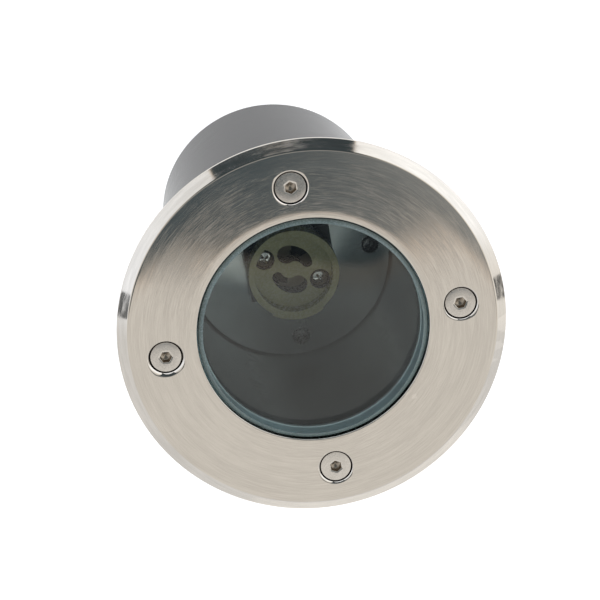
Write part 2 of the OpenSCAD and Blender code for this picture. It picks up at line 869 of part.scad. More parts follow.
module terminal_clamps() {
    color([0.8, 0.66, 0.3])
        at_block()
            for (pole = [-1 : 1])
                translate([0, pole * pole_pitch, 0])
                    difference() {
                        union() {
                            clamp_bar(clamp_d / 2, clamp_len);
                            for (x = [-clamp_screw_x, clamp_screw_x])
                                translate([x, 0, 0]) hole(clamp_d / 2, clamp_z - neck_h, clamp_z);
                        }
                        clamp_bar(clamp_bore_d / 2, clamp_len + 2 * over);
                        for (x = [-clamp_screw_x, clamp_screw_x])
                            translate([x, 0, 0])
                                hole(clamp_screw_d / 2 + thread_gap, clamp_z - neck_h - over, clamp_z);
                    }
}

module clamp_screws() {
    head_z = clamp_z - neck_h;
    shank = neck_h - conductor_r - thread_gap;
    color([0.75, 0.75, 0.72])
        at_block()
            for (pole = [-1 : 1], x = [-clamp_screw_x, clamp_screw_x])
                translate([x, pole * pole_pitch, head_z])
                    rotate([180, 0, 0])
                        pan_screw(clamp_screw_d, shank, clamp_head_d, block_screw_head_h,
                            clamp_cross_turn * pole);
}

module block_screws() {
    shank = block_t - well_h + blind_h - over;
    color([0.75, 0.75, 0.72])
        at_block()
            for (side = [-1, 1])
                translate([0, side * pole_pitch / 2, well_h - block_t])
                    rotate([180, 0, 0])
                        pan_screw(block_screw_d, shank, block_screw_head_d, block_screw_head_h,
                            block_cross_turn * side);
}

module earth_lug() {
    lug_end = barrel_y - barrel_len;
    color([0.75, 0.74, 0.7])
        rotate([0, 0, terminal_turn])
            difference() {
                union() {
                    translate([0, earth_r, 0]) hole(lug_ring_d / 2, plate_under - lug_t, plate_under);
                    translate([-barrel_r, barrel_y - lug_t, plate_under - lug_t])
                        cube([2 * barrel_r, earth_r - barrel_y, lug_t]);
                    translate([0, lug_end, barrel_z])
                        rotate([-90, 0, 0]) cylinder(r = barrel_r, h = barrel_len);
                }
                translate([0, earth_r, 0])
                    hole(earth_screw_d / 2 + fit_gap, plate_under - lug_t - over, plate_under + over);
                translate([0, lug_end - over, barrel_z])
                    rotate([-90, 0, 0]) cylinder(r = conductor_r + fit_gap, h = barrel_len + over - lug_t);
            }
}

module earth_screw() {
    color([0.8, 0.68, 0.3])
        rotate([0, 0, terminal_turn])
            translate([0, earth_r, plate_under - lug_t])
                rotate([180, 0, 0])
                    pan_screw(earth_screw_d, lug_t + blind_h - over, earth_head_d, earth_head_h,
                        earth_cross_turn);
}

module gland_body() {
    color([0.13, 0.13, 0.13])
        difference() {
            union() {
                hole(gland_thread_d / 2, gland_hex_z, gland_top_z);
                hex_prism(gland_af, gland_hex_z, washer_z);
                hole(gland_lower_d / 2, gland_lower_z, gland_hex_z + over);
            }
            hole(gland_bore_r, gland_lower_z - over, gland_top_z + over);
            hole(seal_seat_r, gland_lower_z - over, seal_top_z);
        }
}

module gland_washer() {
    color([0.2, 0.2, 0.2])
        tube(gland_af / 2, gland_hole_r, washer_z, floor_under);
}

module gland_lock_nut() {
    color([0.16, 0.16, 0.16])
        difference() {
            hex_prism(gland_af, floor_z, lock_nut_z);
            hole(gland_thread_d / 2 + thread_gap, floor_z - over, lock_nut_z + over);
        }
}

module gland_seal() {
    color([0.3, 0.3, 0.3])
        tube(seal_r, cable_r, seal_bottom_z, seal_top_z);
}

module gland_nut() {
    hex_z = mix(nut_top_z, nut_bottom_z, nut_hex_share);
    dome_r = gland_af / 2;
    end_r = mix(nut_mouth_r, dome_r, nut_hex_share);
    color([0.13, 0.13, 0.13])
        difference() {
            union() {
                hex_prism(gland_af, hex_z, nut_top_z);
                rotate_extrude()
                    polygon([
                        [0, nut_bottom_z], [end_r, nut_bottom_z], [dome_r, nut_floor_z],
                        [dome_r, hex_z + over], [0, hex_z + over]
                    ]);
            }
            hole(gland_lower_d / 2 + side_gap, nut_floor_z, nut_top_z + over);
            hole(nut_mouth_r, nut_bottom_z - over, nut_floor_z + over);
        }
}

trim_ring();
glass_lens();
lens_gasket();
cover_screw(0);  // cover_screw_1
cover_screw(1);  // cover_screw_2
cover_screw(2);  // cover_screw_3
cover_screw(3);  // cover_screw_4
housing_head();
housing_barrel();
housing_floor();
partition_plate();
plate_screws();
lamp_bracket();
bracket_screws();
lampholder_body();
lampholder_back();
lampholder_screws();
live_contact();
neutral_contact();
lead_grommet();
live_lead();
neutral_lead();
earth_lead();
terminal_block();
terminal_clamps();
clamp_screws();
block_screws();
earth_lug();
earth_screw();
gland_body();
gland_washer();
gland_lock_nut();
gland_seal();
gland_nut();
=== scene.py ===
"""Looks of a recessed ground light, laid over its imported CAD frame.

Every piece is a surface worked out on a grid of two parameters, in metres, in the frame's own axes:
+Z points out of the glass, and z = 0 is the underside of the steel ring.
"""

import json
from math import atan2, cos, pi, radians, sin, tan

import bmesh
import bpy
import numpy as np
from bpy.props import FloatProperty, FloatVectorProperty, PointerProperty
from mathutils import Euler, Matrix, Vector


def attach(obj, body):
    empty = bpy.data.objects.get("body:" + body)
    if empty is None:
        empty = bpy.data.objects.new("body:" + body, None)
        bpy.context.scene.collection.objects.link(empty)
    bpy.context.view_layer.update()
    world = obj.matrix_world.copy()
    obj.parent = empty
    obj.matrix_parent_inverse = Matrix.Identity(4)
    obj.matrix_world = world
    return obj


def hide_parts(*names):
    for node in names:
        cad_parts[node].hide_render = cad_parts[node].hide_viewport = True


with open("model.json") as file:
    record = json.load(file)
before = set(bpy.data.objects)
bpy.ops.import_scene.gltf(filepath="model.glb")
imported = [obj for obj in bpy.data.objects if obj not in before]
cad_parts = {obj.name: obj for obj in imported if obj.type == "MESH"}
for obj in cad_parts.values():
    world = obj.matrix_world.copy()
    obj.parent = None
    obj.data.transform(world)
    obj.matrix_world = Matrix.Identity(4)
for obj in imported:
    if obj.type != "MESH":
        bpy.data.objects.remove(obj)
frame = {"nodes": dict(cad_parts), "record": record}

bl_info = {
    "name": "Recessed ground light",
    "version": (1, 0, 0),
    "blender": (4, 5, 0),
    "location": "View3D > Sidebar > Ground light",
    "description": "Steel ring, glass, housing, lampholder and gland of a recessed ground light",
    "category": "Object",
}

MM = 0.001
TWIST = 2 * pi
WELD = 2e-6  # Corners closer than this are one
SHARP, BEVELLED, FLAT = radians(32), radians(35), radians(0.3)  # Angles between faces
LARGE, GASKET, NUT, SMALL, TINY = 256, 192, 144, 96, 64  # Sides of the round surfaces
LEAD_ROUNDS = 2  # Subdivisions of a lead
BEVEL_OF = {  # Bevels in millimetres of the CAD nodes that keep their own shapes
    "housing_head": 0.35, "housing_floor": 0.3, "partition_plate": 0.25, "lampholder_body": 0.3,
    "lampholder_back": 0.2, "live_contact": 0.06, "neutral_contact": 0.06, "lamp_bracket": 0.3,
    "terminal_block": 0.3, "terminal_clamps": 0.12, "earth_lug": 0.08}
GASKET_SHADE_Z = -5.0 * MM  # The gasket is dark below this
SLOT_SHADE_Z = -55.4 * MM  # The lampholder is dark below this, in its slots and pockets
# Painted light on the partition plate is strongest at this x
PLATE_LIT_X = -28 * MM  # The partition plate is brightest here
DUST = (0.45, 0.43, 0.4)
CAMERA_PLACE = (-0.03937, 0.23144, 0.63549)
CAMERA_TURN = (-18.545, -6.376, -8.869)  # In degrees
FLOOR_R = 3.0
# Borders of the tent's dark card, on a sphere of radius 1 round the object
CARD_FRONT, CARD_LEAN, CARD_BACK = (0.302, 0.282), 0.236, 0.845
CARD_LEFT, CARD_TAPER, CARD_RIGHT = 0.54, 0.2, 0.47
DARK, MILD = (0.05, 0.055, 0.06), (0.42, 0.45, 0.46)
GAPS = (  # Dark strips in the tent: both ends on that sphere, half width and colour
    ((-0.922, 0.051, 0.384), (-0.934, -0.081, 0.347), 0.02, DARK),
    ((0.951, -0.251, 0.181), (0.924, -0.355, 0.143), 0.02, DARK),
    ((-0.005, -0.304, 0.953), (0.013, -0.313, 0.950), 0.004, MILD))
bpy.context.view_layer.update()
BODY_OF = {n: body for body, nodes in frame["record"]["behaviour"]["bodies"].items() for n in nodes}
SLOT_OF = {part["node"]: part["material_slot"] for part in frame["record"]["subparts"]}


# Measures taken from the frame

def gathered(items, key, kind=float):
    """One attribute of three values, of all the items, as an (n, 3) array."""
    values = np.empty(3 * len(items), kind)
    items.foreach_get(key, values)
    return values.reshape(-1, 3)


def corners(node):
    """Corner points of a CAD node as an (n, 3) array."""
    return gathered(frame["nodes"][node].data.vertices, "co")


def distance(points, centre=(0, 0)):
    """Distance of each point from the upright axis through centre."""
    return np.hypot(points[:, 0] - centre[0], points[:, 1] - centre[1])


def profile(node):
    """Distances from the upright axis through the origin, and heights, of a CAD node's corner points."""
    points = corners(node)
    return distance(points), points[:, 2]


def near(values, value, tolerance=0.02 * MM):
    """Where the values lie less than the tolerance away from the value."""
    return np.abs(values - value) < tolerance


def levels(points):
    """Heights at which the points lie, from the lowest up, merged within a hundredth of a millimetre."""
    z = np.sort(points[:, 2])
    return z[np.concatenate([[True], np.diff(z) > 0.01 * MM])]


def middle(points):
    """Middle of the points' box, seen from above."""
    return (points[:, :2].min(0) + points[:, :2].max(0)) / 2


def about_middle(points):
    """Middle of the points, their distances from the upright axis through it, and their heights."""
    centre = middle(points)
    return centre, distance(points, centre), points[:, 2]


def solids(node):
    """Corner points of each separate solid: a corner takes its triangles' lowest label till all agree."""
    mesh = frame["nodes"][node].data
    mesh.calc_loop_triangles()
    points = corners(node)
    keys, same = np.unique(np.round(points / WELD).astype(int), axis=0, return_inverse=True)
    same = same.reshape(-1)
    triangles = same[gathered(mesh.loop_triangles, "vertices", int)]
    label = np.arange(len(keys))
    while True:
        lowest = label.copy()
        np.minimum.at(lowest, triangles.ravel(), np.repeat(label[triangles].min(1), 3))
        if (lowest == label).all():
            break
        label = lowest
    return [points[label[same] == one] for one in np.unique(label)]


# Outlines and surfaces

def mm(*values):
    """Lengths given in millimetres."""
    return [value * MM for value in values]


def unit(v):
    """Vector of length 1 in the direction of v."""
    return v / np.linalg.norm(v)


def blend(a, b, share):
    """From a towards b by that share of the way."""
    return a + (b - a) * share


def even(start, end, count):
    """Even steps from start that stop one step short of end."""
    return np.linspace(start, end, count, endpoint=False)


def polar(r, a):
    """Flat points (r cos a, r sin a)."""
    return np.stack([r * np.cos(a), r * np.sin(a)], -1)


def lifted(flat, z):
    """Flat points, each given its height, or its row's."""
    return np.concatenate([flat, np.broadcast_to(z, flat.shape[:-1])[..., None]], -1)


def ease(t):
    """Smooth step: 3t² - 2t³ of t held between 0 and 1."""
    t = np.clip(t, 0, 1)
    return t * t * (3 - 2 * t)


def rounded(points, radii, steps):
    """Outline through the points, each inner corner swapped for an arc that touches both its sides."""
    points = np.array(points, float)
    out = [points[:1]]
    share = np.linspace(0, 1, steps + 1)[:, None]
    for a, b, c, radius in zip(points, points[1:], points[2:], np.broadcast_to(radii, len(points) - 2)):
        back, on = unit(a - b), unit(c - b)
        half = np.arccos(np.clip(back @ on, -1, 1)) / 2
        centre = b + unit(back + on) * radius / sin(half)
        u, v = unit(b + back * radius / tan(half) - centre), unit(b + on * radius / tan(half) - centre)
        span = pi - 2 * half
        out.append(centre + radius * (np.sin((1 - share) * span) * u + np.sin(share * span) * v) / sin(span))
    out.append(points[-1:])
    return np.concatenate(out)


def closed(points, radii, steps):
    """Closed outline with all corners rounded: it starts and ends in the middle of its last side."""
    points = np.array(points, float)
    start = (points[0] + points[-1]) / 2
    return rounded(np.concatenate([[start], points, [start]]), radii, steps)


def turned(outline, segments, centre=(0, 0), cut=None, flats=None, turn=0.0):
    """Surface of revolution: (r, z) of the outline goes round at angle a to (r cos a, r sin a, z).
    cut(a, r, z) is taken off the radius; flats holds the radius inside a hexagon of that half width."""
    a = even(0, TWIST, segments) + turn
    r, z, a = outline[:, :1], outline[:, 1:], a[None, :]
    r = r - cut(a, r, z) if cut else r + 0 * a
    if flats:
        side = (a - turn) % (pi / 3) - pi / 6
        r = np.minimum(r, flats / np.cos(side))
    return lifted(polar(r, a) + centre, z)


def thread(pitch, depth, z_from, z_to, r_over):
    """Cut of a screw thread: a triangle wave of z/pitch - a/2π, faded out over one pitch at both ends."""
    def cut(a, r, z):
        wave = np.abs(2 * ((z / pitch - a / TWIST) % 1) - 1)
        inside = ease((z - z_from) / pitch) * ease((z_to - z) / pitch)
        return depth * wave * inside * (r > r_over)
    return cut


def stretch(r, z_from, z_to, step):
    """Straight stretch of an outline at radius r, with a point every step."""
    z = np.linspace(z_from, z_to, max(2, int(abs(z_to - z_from) / step)))
    return np.stack([np.full_like(z, r), z], 1)


def mesh_of(name, grids):
    """Mesh of several point grids of shape (rows, columns, 3), given with True where the columns wrap
    round. Equal points are welded, faces turned outwards, and edges past the SHARP angle stay crisp."""
    points, faces, first = [], [], 0
    for grid, wraps in grids:
        rows, columns = grid.shape[:2]
        index = first + np.arange(rows * columns).reshape(rows, columns)
        if wraps:
            index = np.concatenate([index, index[:, :1]], 1)
        quads = np.stack([index[:-1, :-1], index[:-1, 1:], index[1:, 1:], index[1:, :-1]], -1)
        points.append(grid.reshape(-1, 3))
        faces.append(quads.reshape(-1, 4))
        first += rows * columns
    points, faces = np.concatenate(points), np.concatenate(faces)
    mesh = bpy.data.meshes.new(name)
    mesh.vertices.add(len(points))
    mesh.vertices.foreach_set("co", points.ravel())
    mesh.loops.add(faces.size)
    mesh.loops.foreach_set("vertex_index", faces.ravel())
    mesh.polygons.add(len(faces))
    mesh.polygons.foreach_set("loop_start", np.arange(0, faces.size, 4))
    mesh.update(calc_edges=True)
    weld(mesh, SHARP)
    return mesh


def weld(mesh, sharp, flatten=None):
    """Merges equal corners, joins faces within the flatten angle of one plane, and shades smooth but for
    the edges past the sharp angle."""
    work = bmesh.new()
    work.from_mesh(mesh)
    bmesh.ops.remove_doubles(work, verts=work.verts, dist=WELD)
    bmesh.ops.dissolve_degenerate(work, edges=work.edges, dist=WELD / 10)
    if flatten:
        bmesh.ops.dissolve_limit(work, angle_limit=flatten, verts=work.verts, edges=work.edges)
    bmesh.ops.recalc_face_normals(work, faces=work.faces)
    work.to_mesh(mesh)
    work.free()
    mesh.polygons.foreach_set("use_smooth", np.ones(len(mesh.polygons), bool))
    mesh.set_sharp_from_angle(angle=sharp)


def piece(name, grids, material, node):
    """New piece of the grids that stands for the CAD node and rides on its body. Its large flat faces keep
    their own normals beside the small ones of the roundings."""
    obj = dressed(bpy.data.objects.new(name, mesh_of(name, grids)), material, node)
    obj.modifiers.new("Flats", "WEIGHTED_NORMAL").keep_sharp = True
    return obj


def dressed(obj, material, node):
    """Puts the object in the scene with its material, in place of the CAD node."""
    bpy.context.scene.collection.objects.link(obj)
    obj.data.materials.clear()
    obj.data.materials.append(material)
    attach(obj, BODY_OF[node])
    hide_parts(node)
    return obj


def softened(node, material):
    """Copy of a CAD node with its edges broken by a bevel, or a lead's copy, which is subdivided."""
    width = BEVEL_OF.get(node, 0.0) * MM
    mesh = frame["nodes"][node].data.copy()
    mesh.name = node + "_shape"
    weld(mesh, BEVELLED, FLAT if width else None)
    obj = dressed(bpy.data.objects.new(node + "_shape", mesh), material, node)
    if width:
        bevel = obj.modifiers.new("Edge", "BEVEL")
        bevel.width = width
        bevel.segments = 2
        bevel.limit_method = "ANGLE"
        bevel.angle_limit = BEVELLED
        bevel.harden_normals = True
    else:
        rounds = obj.modifiers.new("Round", "SUBSURF")
        rounds.levels = rounds.render_levels = LEAD_ROUNDS
    return obj


# Steel ring

def ring_face(r, look, top, span):
    """Height of the ring's face at radius r: top, less a parabola outwards and one in to the window."""
    window_r, face_r = span
    outwards = np.clip((r - look.crown_from) / (face_r - look.crown_from), 0, None)
    inwards = np.clip((look.roll_from - r) / (look.roll_from - window_r), 0, None)
    return top - look.crown * outwards ** 2 - look.roll * inwards ** 2


def sector_outline(turn, half, r0, r1, across, along):
    """Outline of the sector turn ± half, r0 to r1, as flat points: out along one side and back."""
    a = np.concatenate([even(turn - half, turn + half, across), np.full(along, turn + half),
                        even(turn + half, turn - half, across), np.full(along, turn - half)])
    r = np.concatenate([np.full(across, r0), even(r0, r1, along),
                        np.full(across, r1), even(r1, r0, along)])
    return polar(r, a)


def annulus(turn_from, turn_to, r, columns, height):
    """Flat ring piece between two angles over the radii r, with its height given by radius."""
    a = np.linspace(turn_from, turn_to, columns)[None, :]
    r = r[:, None] + 0 * a
    return lifted(polar(r, a), height(r))


def circle_at(centre, radius, direction):
    """Points of a circle in the given directions from its centre."""
    return np.array(centre) + radius * direction


def steel_ring(look):
    """Crowned face pierced by four dished countersinks, with filleted bevel, wall and underside."""
    node = corners("trim_ring")
    r, z = profile("trim_ring")
    top, outer_r, window_r = z.max(), r.max(), r.min()
    bevel_z = z[near(r, outer_r)].max()
    face_r = r[near(z, top)].max()
    relief_z = z[near(r, window_r)].min()
    relief_r = r[near(z, 0)].min()
    slope = (top - bevel_z) / (outer_r - face_r)
    screws = [middle(corners(f"cover_screw_{i + 1}")) for i in range(4)]
    pitch_r = np.hypot(*screws[0])
    half = look.hole_zone / pitch_r
    zone = (pitch_r - look.hole_zone, pitch_r + look.hole_zone)
    across, along, between = 20, 24, 76  # Steps along a screw's patch, both ways, and between two patches
    span = (window_r, face_r)

    def height(at_r):
        return ring_face(at_r, look, top, span)

    def under(at_r):
        return np.full_like(at_r, relief_z)

    inner_r, rim_r = window_r + look.window_round, face_r - look.face_round
    patch = np.linspace(*zone, along + 1)
    radii = np.concatenate([np.linspace(inner_r, zone[0], 9)[:-1], patch, np.linspace(zone[1], rim_r, 7)[1:]])
    low = np.array([window_r + 0.5 * MM, *patch, relief_r - 0.2 * MM])
    grids = []
    for screw in screws:
        turn = atan2(screw[1], screw[0])
        after = turn + half, turn + pi / 2 - half
        for rows, shape in ((radii, height), (low, under)):
            grids.append((annulus(*after, rows, between + 1, shape), False))
            for part in (rows[rows <= zone[0] + WELD], rows[rows >= zone[1] - WELD]):
                grids.append((annulus(turn - half, turn + half, part, across + 1, shape), False))
        outline = sector_outline(turn, half, *zone, across, along)
        grids += screw_seat(node, screw, outline, look, height, relief_z)
    edge_z = height(face_r)
    corner_r = face_r + (top - edge_z) / slope
    rim = rounded([
        (rim_r, height(rim_r)), (corner_r, edge_z), (outer_r, bevel_z), (outer_r, 0), (relief_r, 0),
        (relief_r, relief_z), (low[-1], relief_z)],
        [look.bevel_round, look.edge_round, look.edge_round, *mm(0.1, 0.1)], 8)
    window = rounded([
        (low[0], relief_z), (window_r, relief_z), (window_r, height(window_r)), (inner_r, height(inner_r))],
        [0.15 * MM, look.window_round * 0.9], 8)
    turns = np.concatenate([
        steps for a in (atan2(y, x) for x, y in screws)
        for steps in (even(a - half, a + half, across), even(a + half, a + pi / 2 - half, between))])
    for outline in (rim, window):
        grids.append((lifted(polar(outline[:, :1], turns), outline[:, 1:]), True))
    return grids


def screw_seat(node, screw, outline, look, height, relief_z):
    """Face from the sector's outline in to a dished lip that lies off centre, and the countersink below."""
    local = node[distance(node, screw) < look.hole_zone]
    from_screw = distance(local, screw)
    z = levels(local)
    top_points = local[near(local[:, 2], z[-1]) & (from_screw < look.hole_zone)]
    dish_centre = middle(top_points)
    dish_r = np.ptp(top_points[:, 0]) / 2
    recess_r = from_screw[near(local[:, 2], z[-3])].mean()
    hole_r = from_screw[near(local[:, 2], z[0])].min()
    gaze = outline - dish_centre
    gaze = gaze / np.linalg.norm(gaze, axis=1, keepdims=True)
    wall = circle_at(screw, recess_r, gaze)
    reach = 1.0 if screw[0] < -abs(screw[1]) else look.dish_reach
    lip = blend(wall, circle_at(dish_centre, dish_r, gaze), reach)
    width = np.linalg.norm(lip - wall, axis=1)
    depth = look.dish_steep * np.maximum(width, 0.3 * width.max())
    share = (np.linspace(0, 1, 9) ** 0.8)[:, None, None]
    face = blend(outline[None], lip[None], share)
    face = lifted(face, height(np.linalg.norm(face, axis=-1)))
    share = np.linspace(0, 1, 11)[:, None, None]
    dish = blend(lip[None], wall[None], share)
    drop = depth * (share + share ** 2)[..., 0] / 2
    dish = lifted(dish, height(np.linalg.norm(lip, axis=-1)) - drop)
    seat = [(wall, dish[-1, :, 2]), (wall, z[2]), (circle_at(screw, hole_r, gaze), z[1]),
            (circle_at(screw, hole_r, gaze), relief_z), (outline, relief_z)]
    below = np.stack([lifted(flat, level) for flat, level in seat])
    return [(face, True), (dish, True), (below, True)]


# Cover screws

def outline_round(shape, count):
    """Points at count even angles of a shape that gives its radius by angle."""
    a = even(0, TWIST, count)
    return polar(shape(a), a)


def hexagon(half_width, turn):
    """Radius of a hexagon by angle: half its width over the cosine of the angle from the nearest flat."""
    return lambda a: half_width / np.cos((a - turn) % (pi / 3) - pi / 6)


def rings(flats_and_levels):
    """Surface through closed flat outlines, each at its own height or heights."""
    return np.stack([lifted(flat, level) for flat, level in flats_and_levels]), True


def cover_screw(points, look):
    """Countersunk head with a hexagonal socket and drill point, over a threaded shank."""
    centre, r, z = about_middle(points)
    top, end, head_r = z.max(), z.min(), r.max()
    edge_z = z[near(r, head_r)].min()
    shank_r = r[near(z, end)].max()
    cone_z = z[near(r, shank_r)].max()
    mouth = points[near(z, top) & (r < head_r / 2)] - (*centre, 0)
    hex_r = distance(mouth).max()
    turn = atan2(mouth[0, 1], mouth[0, 0])
    socket_z = z[near(r, hex_r)].min()
    tip_z = z[(r < 0.05 * MM) & (z > end + MM)].min()
    half_width = hex_r * cos(pi / 6)
    edge = look.socket_break

    def flat(shape):
        return centre + outline_round(shape, SMALL)

    def socket(grow):
        return flat(hexagon(half_width + grow, turn))

    def disc(radius):
        return flat(lambda a: radius + 0 * a)

    drill_r, rim_r = half_width * look.drill_share, head_r - look.head_break
    rise, pitch = look.head_crown, look.thread_pitch
    head = [(blend(socket(edge), disc(rim_r), s), top - rise * s ** 3)
            for s in np.linspace(0, 1, 7)]
    inside = [(disc(drill_r * s), blend(tip_z, socket_z, s)) for s in np.linspace(0, 1, 6)]
    inside += [(blend(disc(drill_r), socket(-0.3 * edge), s), socket_z) for s in (0.5, 1)]
    inside += [(socket(0), socket_z + edge), (socket(0), top - edge), (socket(0.3 * edge), top - 0.4 * edge)]
    shank = np.concatenate([
        rounded([(rim_r, top - rise), (head_r, top - look.head_break - rise), (head_r, edge_z),
                 (shank_r, cone_z), (shank_r, cone_z - 0.6 * MM)], mm(0.06, 0.08, 0.15), 4),
        stretch(shank_r, cone_z - 0.7 * MM, end + 0.9 * MM, pitch / 8),
        [(shank_r, end + 0.6 * MM), (shank_r - 0.6 * MM, end), (0, end)]])
    cut = thread(pitch, pitch * 0.5, end + 0.2 * MM, cone_z - 0.8 * MM, shank_r * 0.98)
    body = turned(shank, SMALL, centre, cut)
    return [rings(inside + head), (body, True)]


# Small screws with a crossed recess

def cross(arm, half_width):
    """Radius by angle of a cross with rounded roots: the larger of two bars' radii, held to the arm."""
    def shape(a):
        a = (a + pi / 4) % (pi / 2) - pi / 4
        bar = half_width / np.maximum(np.abs(np.sin(a)), 1e-3)
        return np.minimum(bar, arm / np.maximum(np.cos(a), 0.5))
    return shape


def pan_screws(node, look):
    """Domed heads with a crossed recess and a threaded shank, one for each solid of the node."""
    grids = []
    for points in solids(node):
        centre, r, z = about_middle(points)
        head_r = r.max()
        head_z = z[near(r, head_r)]
        up = 1 if head_z.mean() > (z.max() + z.min()) / 2 else -1
        top, end = (z.max(), z.min()) if up > 0 else (z.min(), z.max())
        seat_z = head_z.min() if up > 0 else head_z.max()
        shank_r = r[near(z, end)].max()
        slots = points[near(z, top) & (r < 0.72 * head_r)]
        aim = np.arctan2(slots[:, 1] - centre[1], slots[:, 0] - centre[0])
        turn = np.angle(np.exp(4j * aim).mean()) / 4
        height, length = abs(top - seat_z), abs(seat_z - end)
        grids += pan_screw(look, centre, seat_z, up, head_r, height, shank_r, length, turn)
    return grids


def pan_screw(look, centre, seat_z, up, head_r, height, shank_r, length, turn):
    """Dome from the cross's outline to the rim, a tapered crossed recess, and a shank with a thread."""
    arm, bar = head_r * look.cross_share, head_r * look.cross_width_share
    dome = height * 0.3

    def flat(shape, grow=1.0):
        return outline_round(lambda a: shape(a - turn) * grow, TINY)

    def z_at(h):
        return seat_z + up * h

    def crowned(flat_points):
        return z_at(height - dome * (np.linalg.norm(flat_points, axis=-1) / head_r) ** 2)

    slot, rim = flat(cross(arm, bar)), flat(lambda a: head_r * 0.86 + 0 * a)
    deep = height * look.cross_depth_share
    rows = [(flat(cross(arm * 0.45, bar * 0.6), s), z_at(height - deep - 0.15 * deep * (1 - s)))
            for s in (0, 0.5, 1)]
    rows += [(slot * 0.97, crowned(slot) - up * 0.06 * MM)]
    rows += [(blend(slot, rim, s), crowned(blend(slot, rim, s))) for s in np.linspace(0, 1, 6)]
    pitch = shank_r * 0.34
    side = rounded([
        (head_r * 0.86, height - dome * 0.86 ** 2), (head_r, height - dome * 1.3), (head_r, 0),
        (shank_r, 0), (shank_r, -0.1 * length)], [head_r * 0.12, 0.05 * MM, 0.05 * MM], 4)
    shank = np.concatenate([
        side, stretch(shank_r, -0.12 * length, -0.9 * length, pitch / 6),
        [(shank_r, -0.92 * length), (shank_r * 0.6, -length), (0, -length)]])
    cut = thread(pitch, pitch * 0.5, -0.95 * length, -0.1 * length, shank_r * 0.98)
    body = turned(shank, TINY, cut=cut)
    head = np.stack([lifted(centre + f, level) for f, level in rows])
    body = np.concatenate([body[..., :2] + centre, seat_z + up * body[..., 2:]], -1)
    return [(head, True), (body, True)]


# Glass, gasket and housing

def glass_step():
    """Radius of the glass's step, and the heights of its foot and of the edge over it."""
    r, z = profile("glass_lens")
    flange_z = z[near(r, r.max())].max()
    step_r = r[near(z, flange_z)].min()
    return step_r, flange_z, z[near(r, step_r)].max()


def glass_solid(look):
    """Stepped disc: a step with a slanted, ground edge in the window, over a wider flange."""
    r, z = profile("glass_lens")
    top, bottom, flange_r = z.max(), z.min(), r.max()
    step_r, flange_z, edge_z = glass_step()
    outline = rounded([
        (0, bottom), (flange_r, bottom), (flange_r, flange_z), (step_r, flange_z), (step_r, edge_z),
        (step_r - look.slant, top), (0, top)],
        [look.flange_round, look.flange_round, 0.15 * MM, look.edge_round, look.edge_round], 8)
    return [(turned(outline, LARGE), True)]


def mark_edge(mesh, look):
    """Gives the second material to the faces of the slanted edge and of the step's wall under it."""
    centres, ways = gathered(mesh.polygons, "center"), gathered(mesh.polygons, "normal")
    step_r = distance(centres[centres[:, 2] > centres[:, 2].max() - look.slant]).max()
    ground = (distance(centres) < step_r + WELD) & (distance(centres) > step_r - look.slant - look.edge_round)
    ground &= (ways[:, 2] > -0.1) & (ways[:, 2] < 0.995) & (centres[:, 2] > centres[:, 2].min() + 3 * MM)
    mesh.polygons.foreach_set("material_index", ground.astype(int))


def lens_gasket():
    """Ring of channel section that wraps the glass flange."""
    r, z = profile("lens_gasket")
    inner_r, outer_r, bottom, top = r.min(), r.max(), z.min(), z.max()
    base_z = z[near(r, inner_r)].max()
    lip_r = r[near(z, top)].min()
    lip_z = z[near(r, lip_r)].min()
    wall_r = r[near(z, base_z)].max()
    outline = closed([
        (inner_r, bottom), (outer_r, bottom), (outer_r, top), (lip_r, top), (lip_r, lip_z),
        (wall_r, lip_z), (wall_r, base_z), (inner_r, base_z)],
        mm(0.2, 0.2, 0.2, 0.2, 0.2, 0.1, 0.1, 0.25), 4)
    return [(turned(outline, GASKET), True)]


def barrel():
    """Deep tube with a broken lower edge."""
    r, z = profile("housing_barrel")
    inner_r, outer_r, bottom, top = r.min(), r.max(), z.min(), z.max()
    foot_r = r[near(z, bottom)].max()
    foot_z = z[near(r, outer_r)].min()
    outline = closed([
        (inner_r, bottom), (foot_r, bottom), (outer_r, foot_z), (outer_r, top), (inner_r, top)],
        mm(0.2, 0.5, 0.5, 0.2, 0.2), 5)
    return [(turned(outline, LARGE), True)]


# Cable gland

def plain_ring(node, radius):
    """Ring of rectangular section with rounded corners, at the node's own sizes."""
    r, z = profile(node)
    outline = closed([
        (r.min(), z.min()), (r.max(), z.min()), (r.max(), z.max()), (r.min(), z.max())], radius, 4)
    return [(turned(outline, SMALL), True)]


def hexagon_of(node):
    """Half width across the flats, turn of a corner, and height of the chamfer, of a CAD node's hexagon."""
    points, r = corners(node), profile(node)[0]
    corner = points[near(r, r.max())][0]
    flats = r.max() * cos(pi / 6)
    return flats, atan2(corner[1], corner[0]), (r.max() - flats) * 0.6


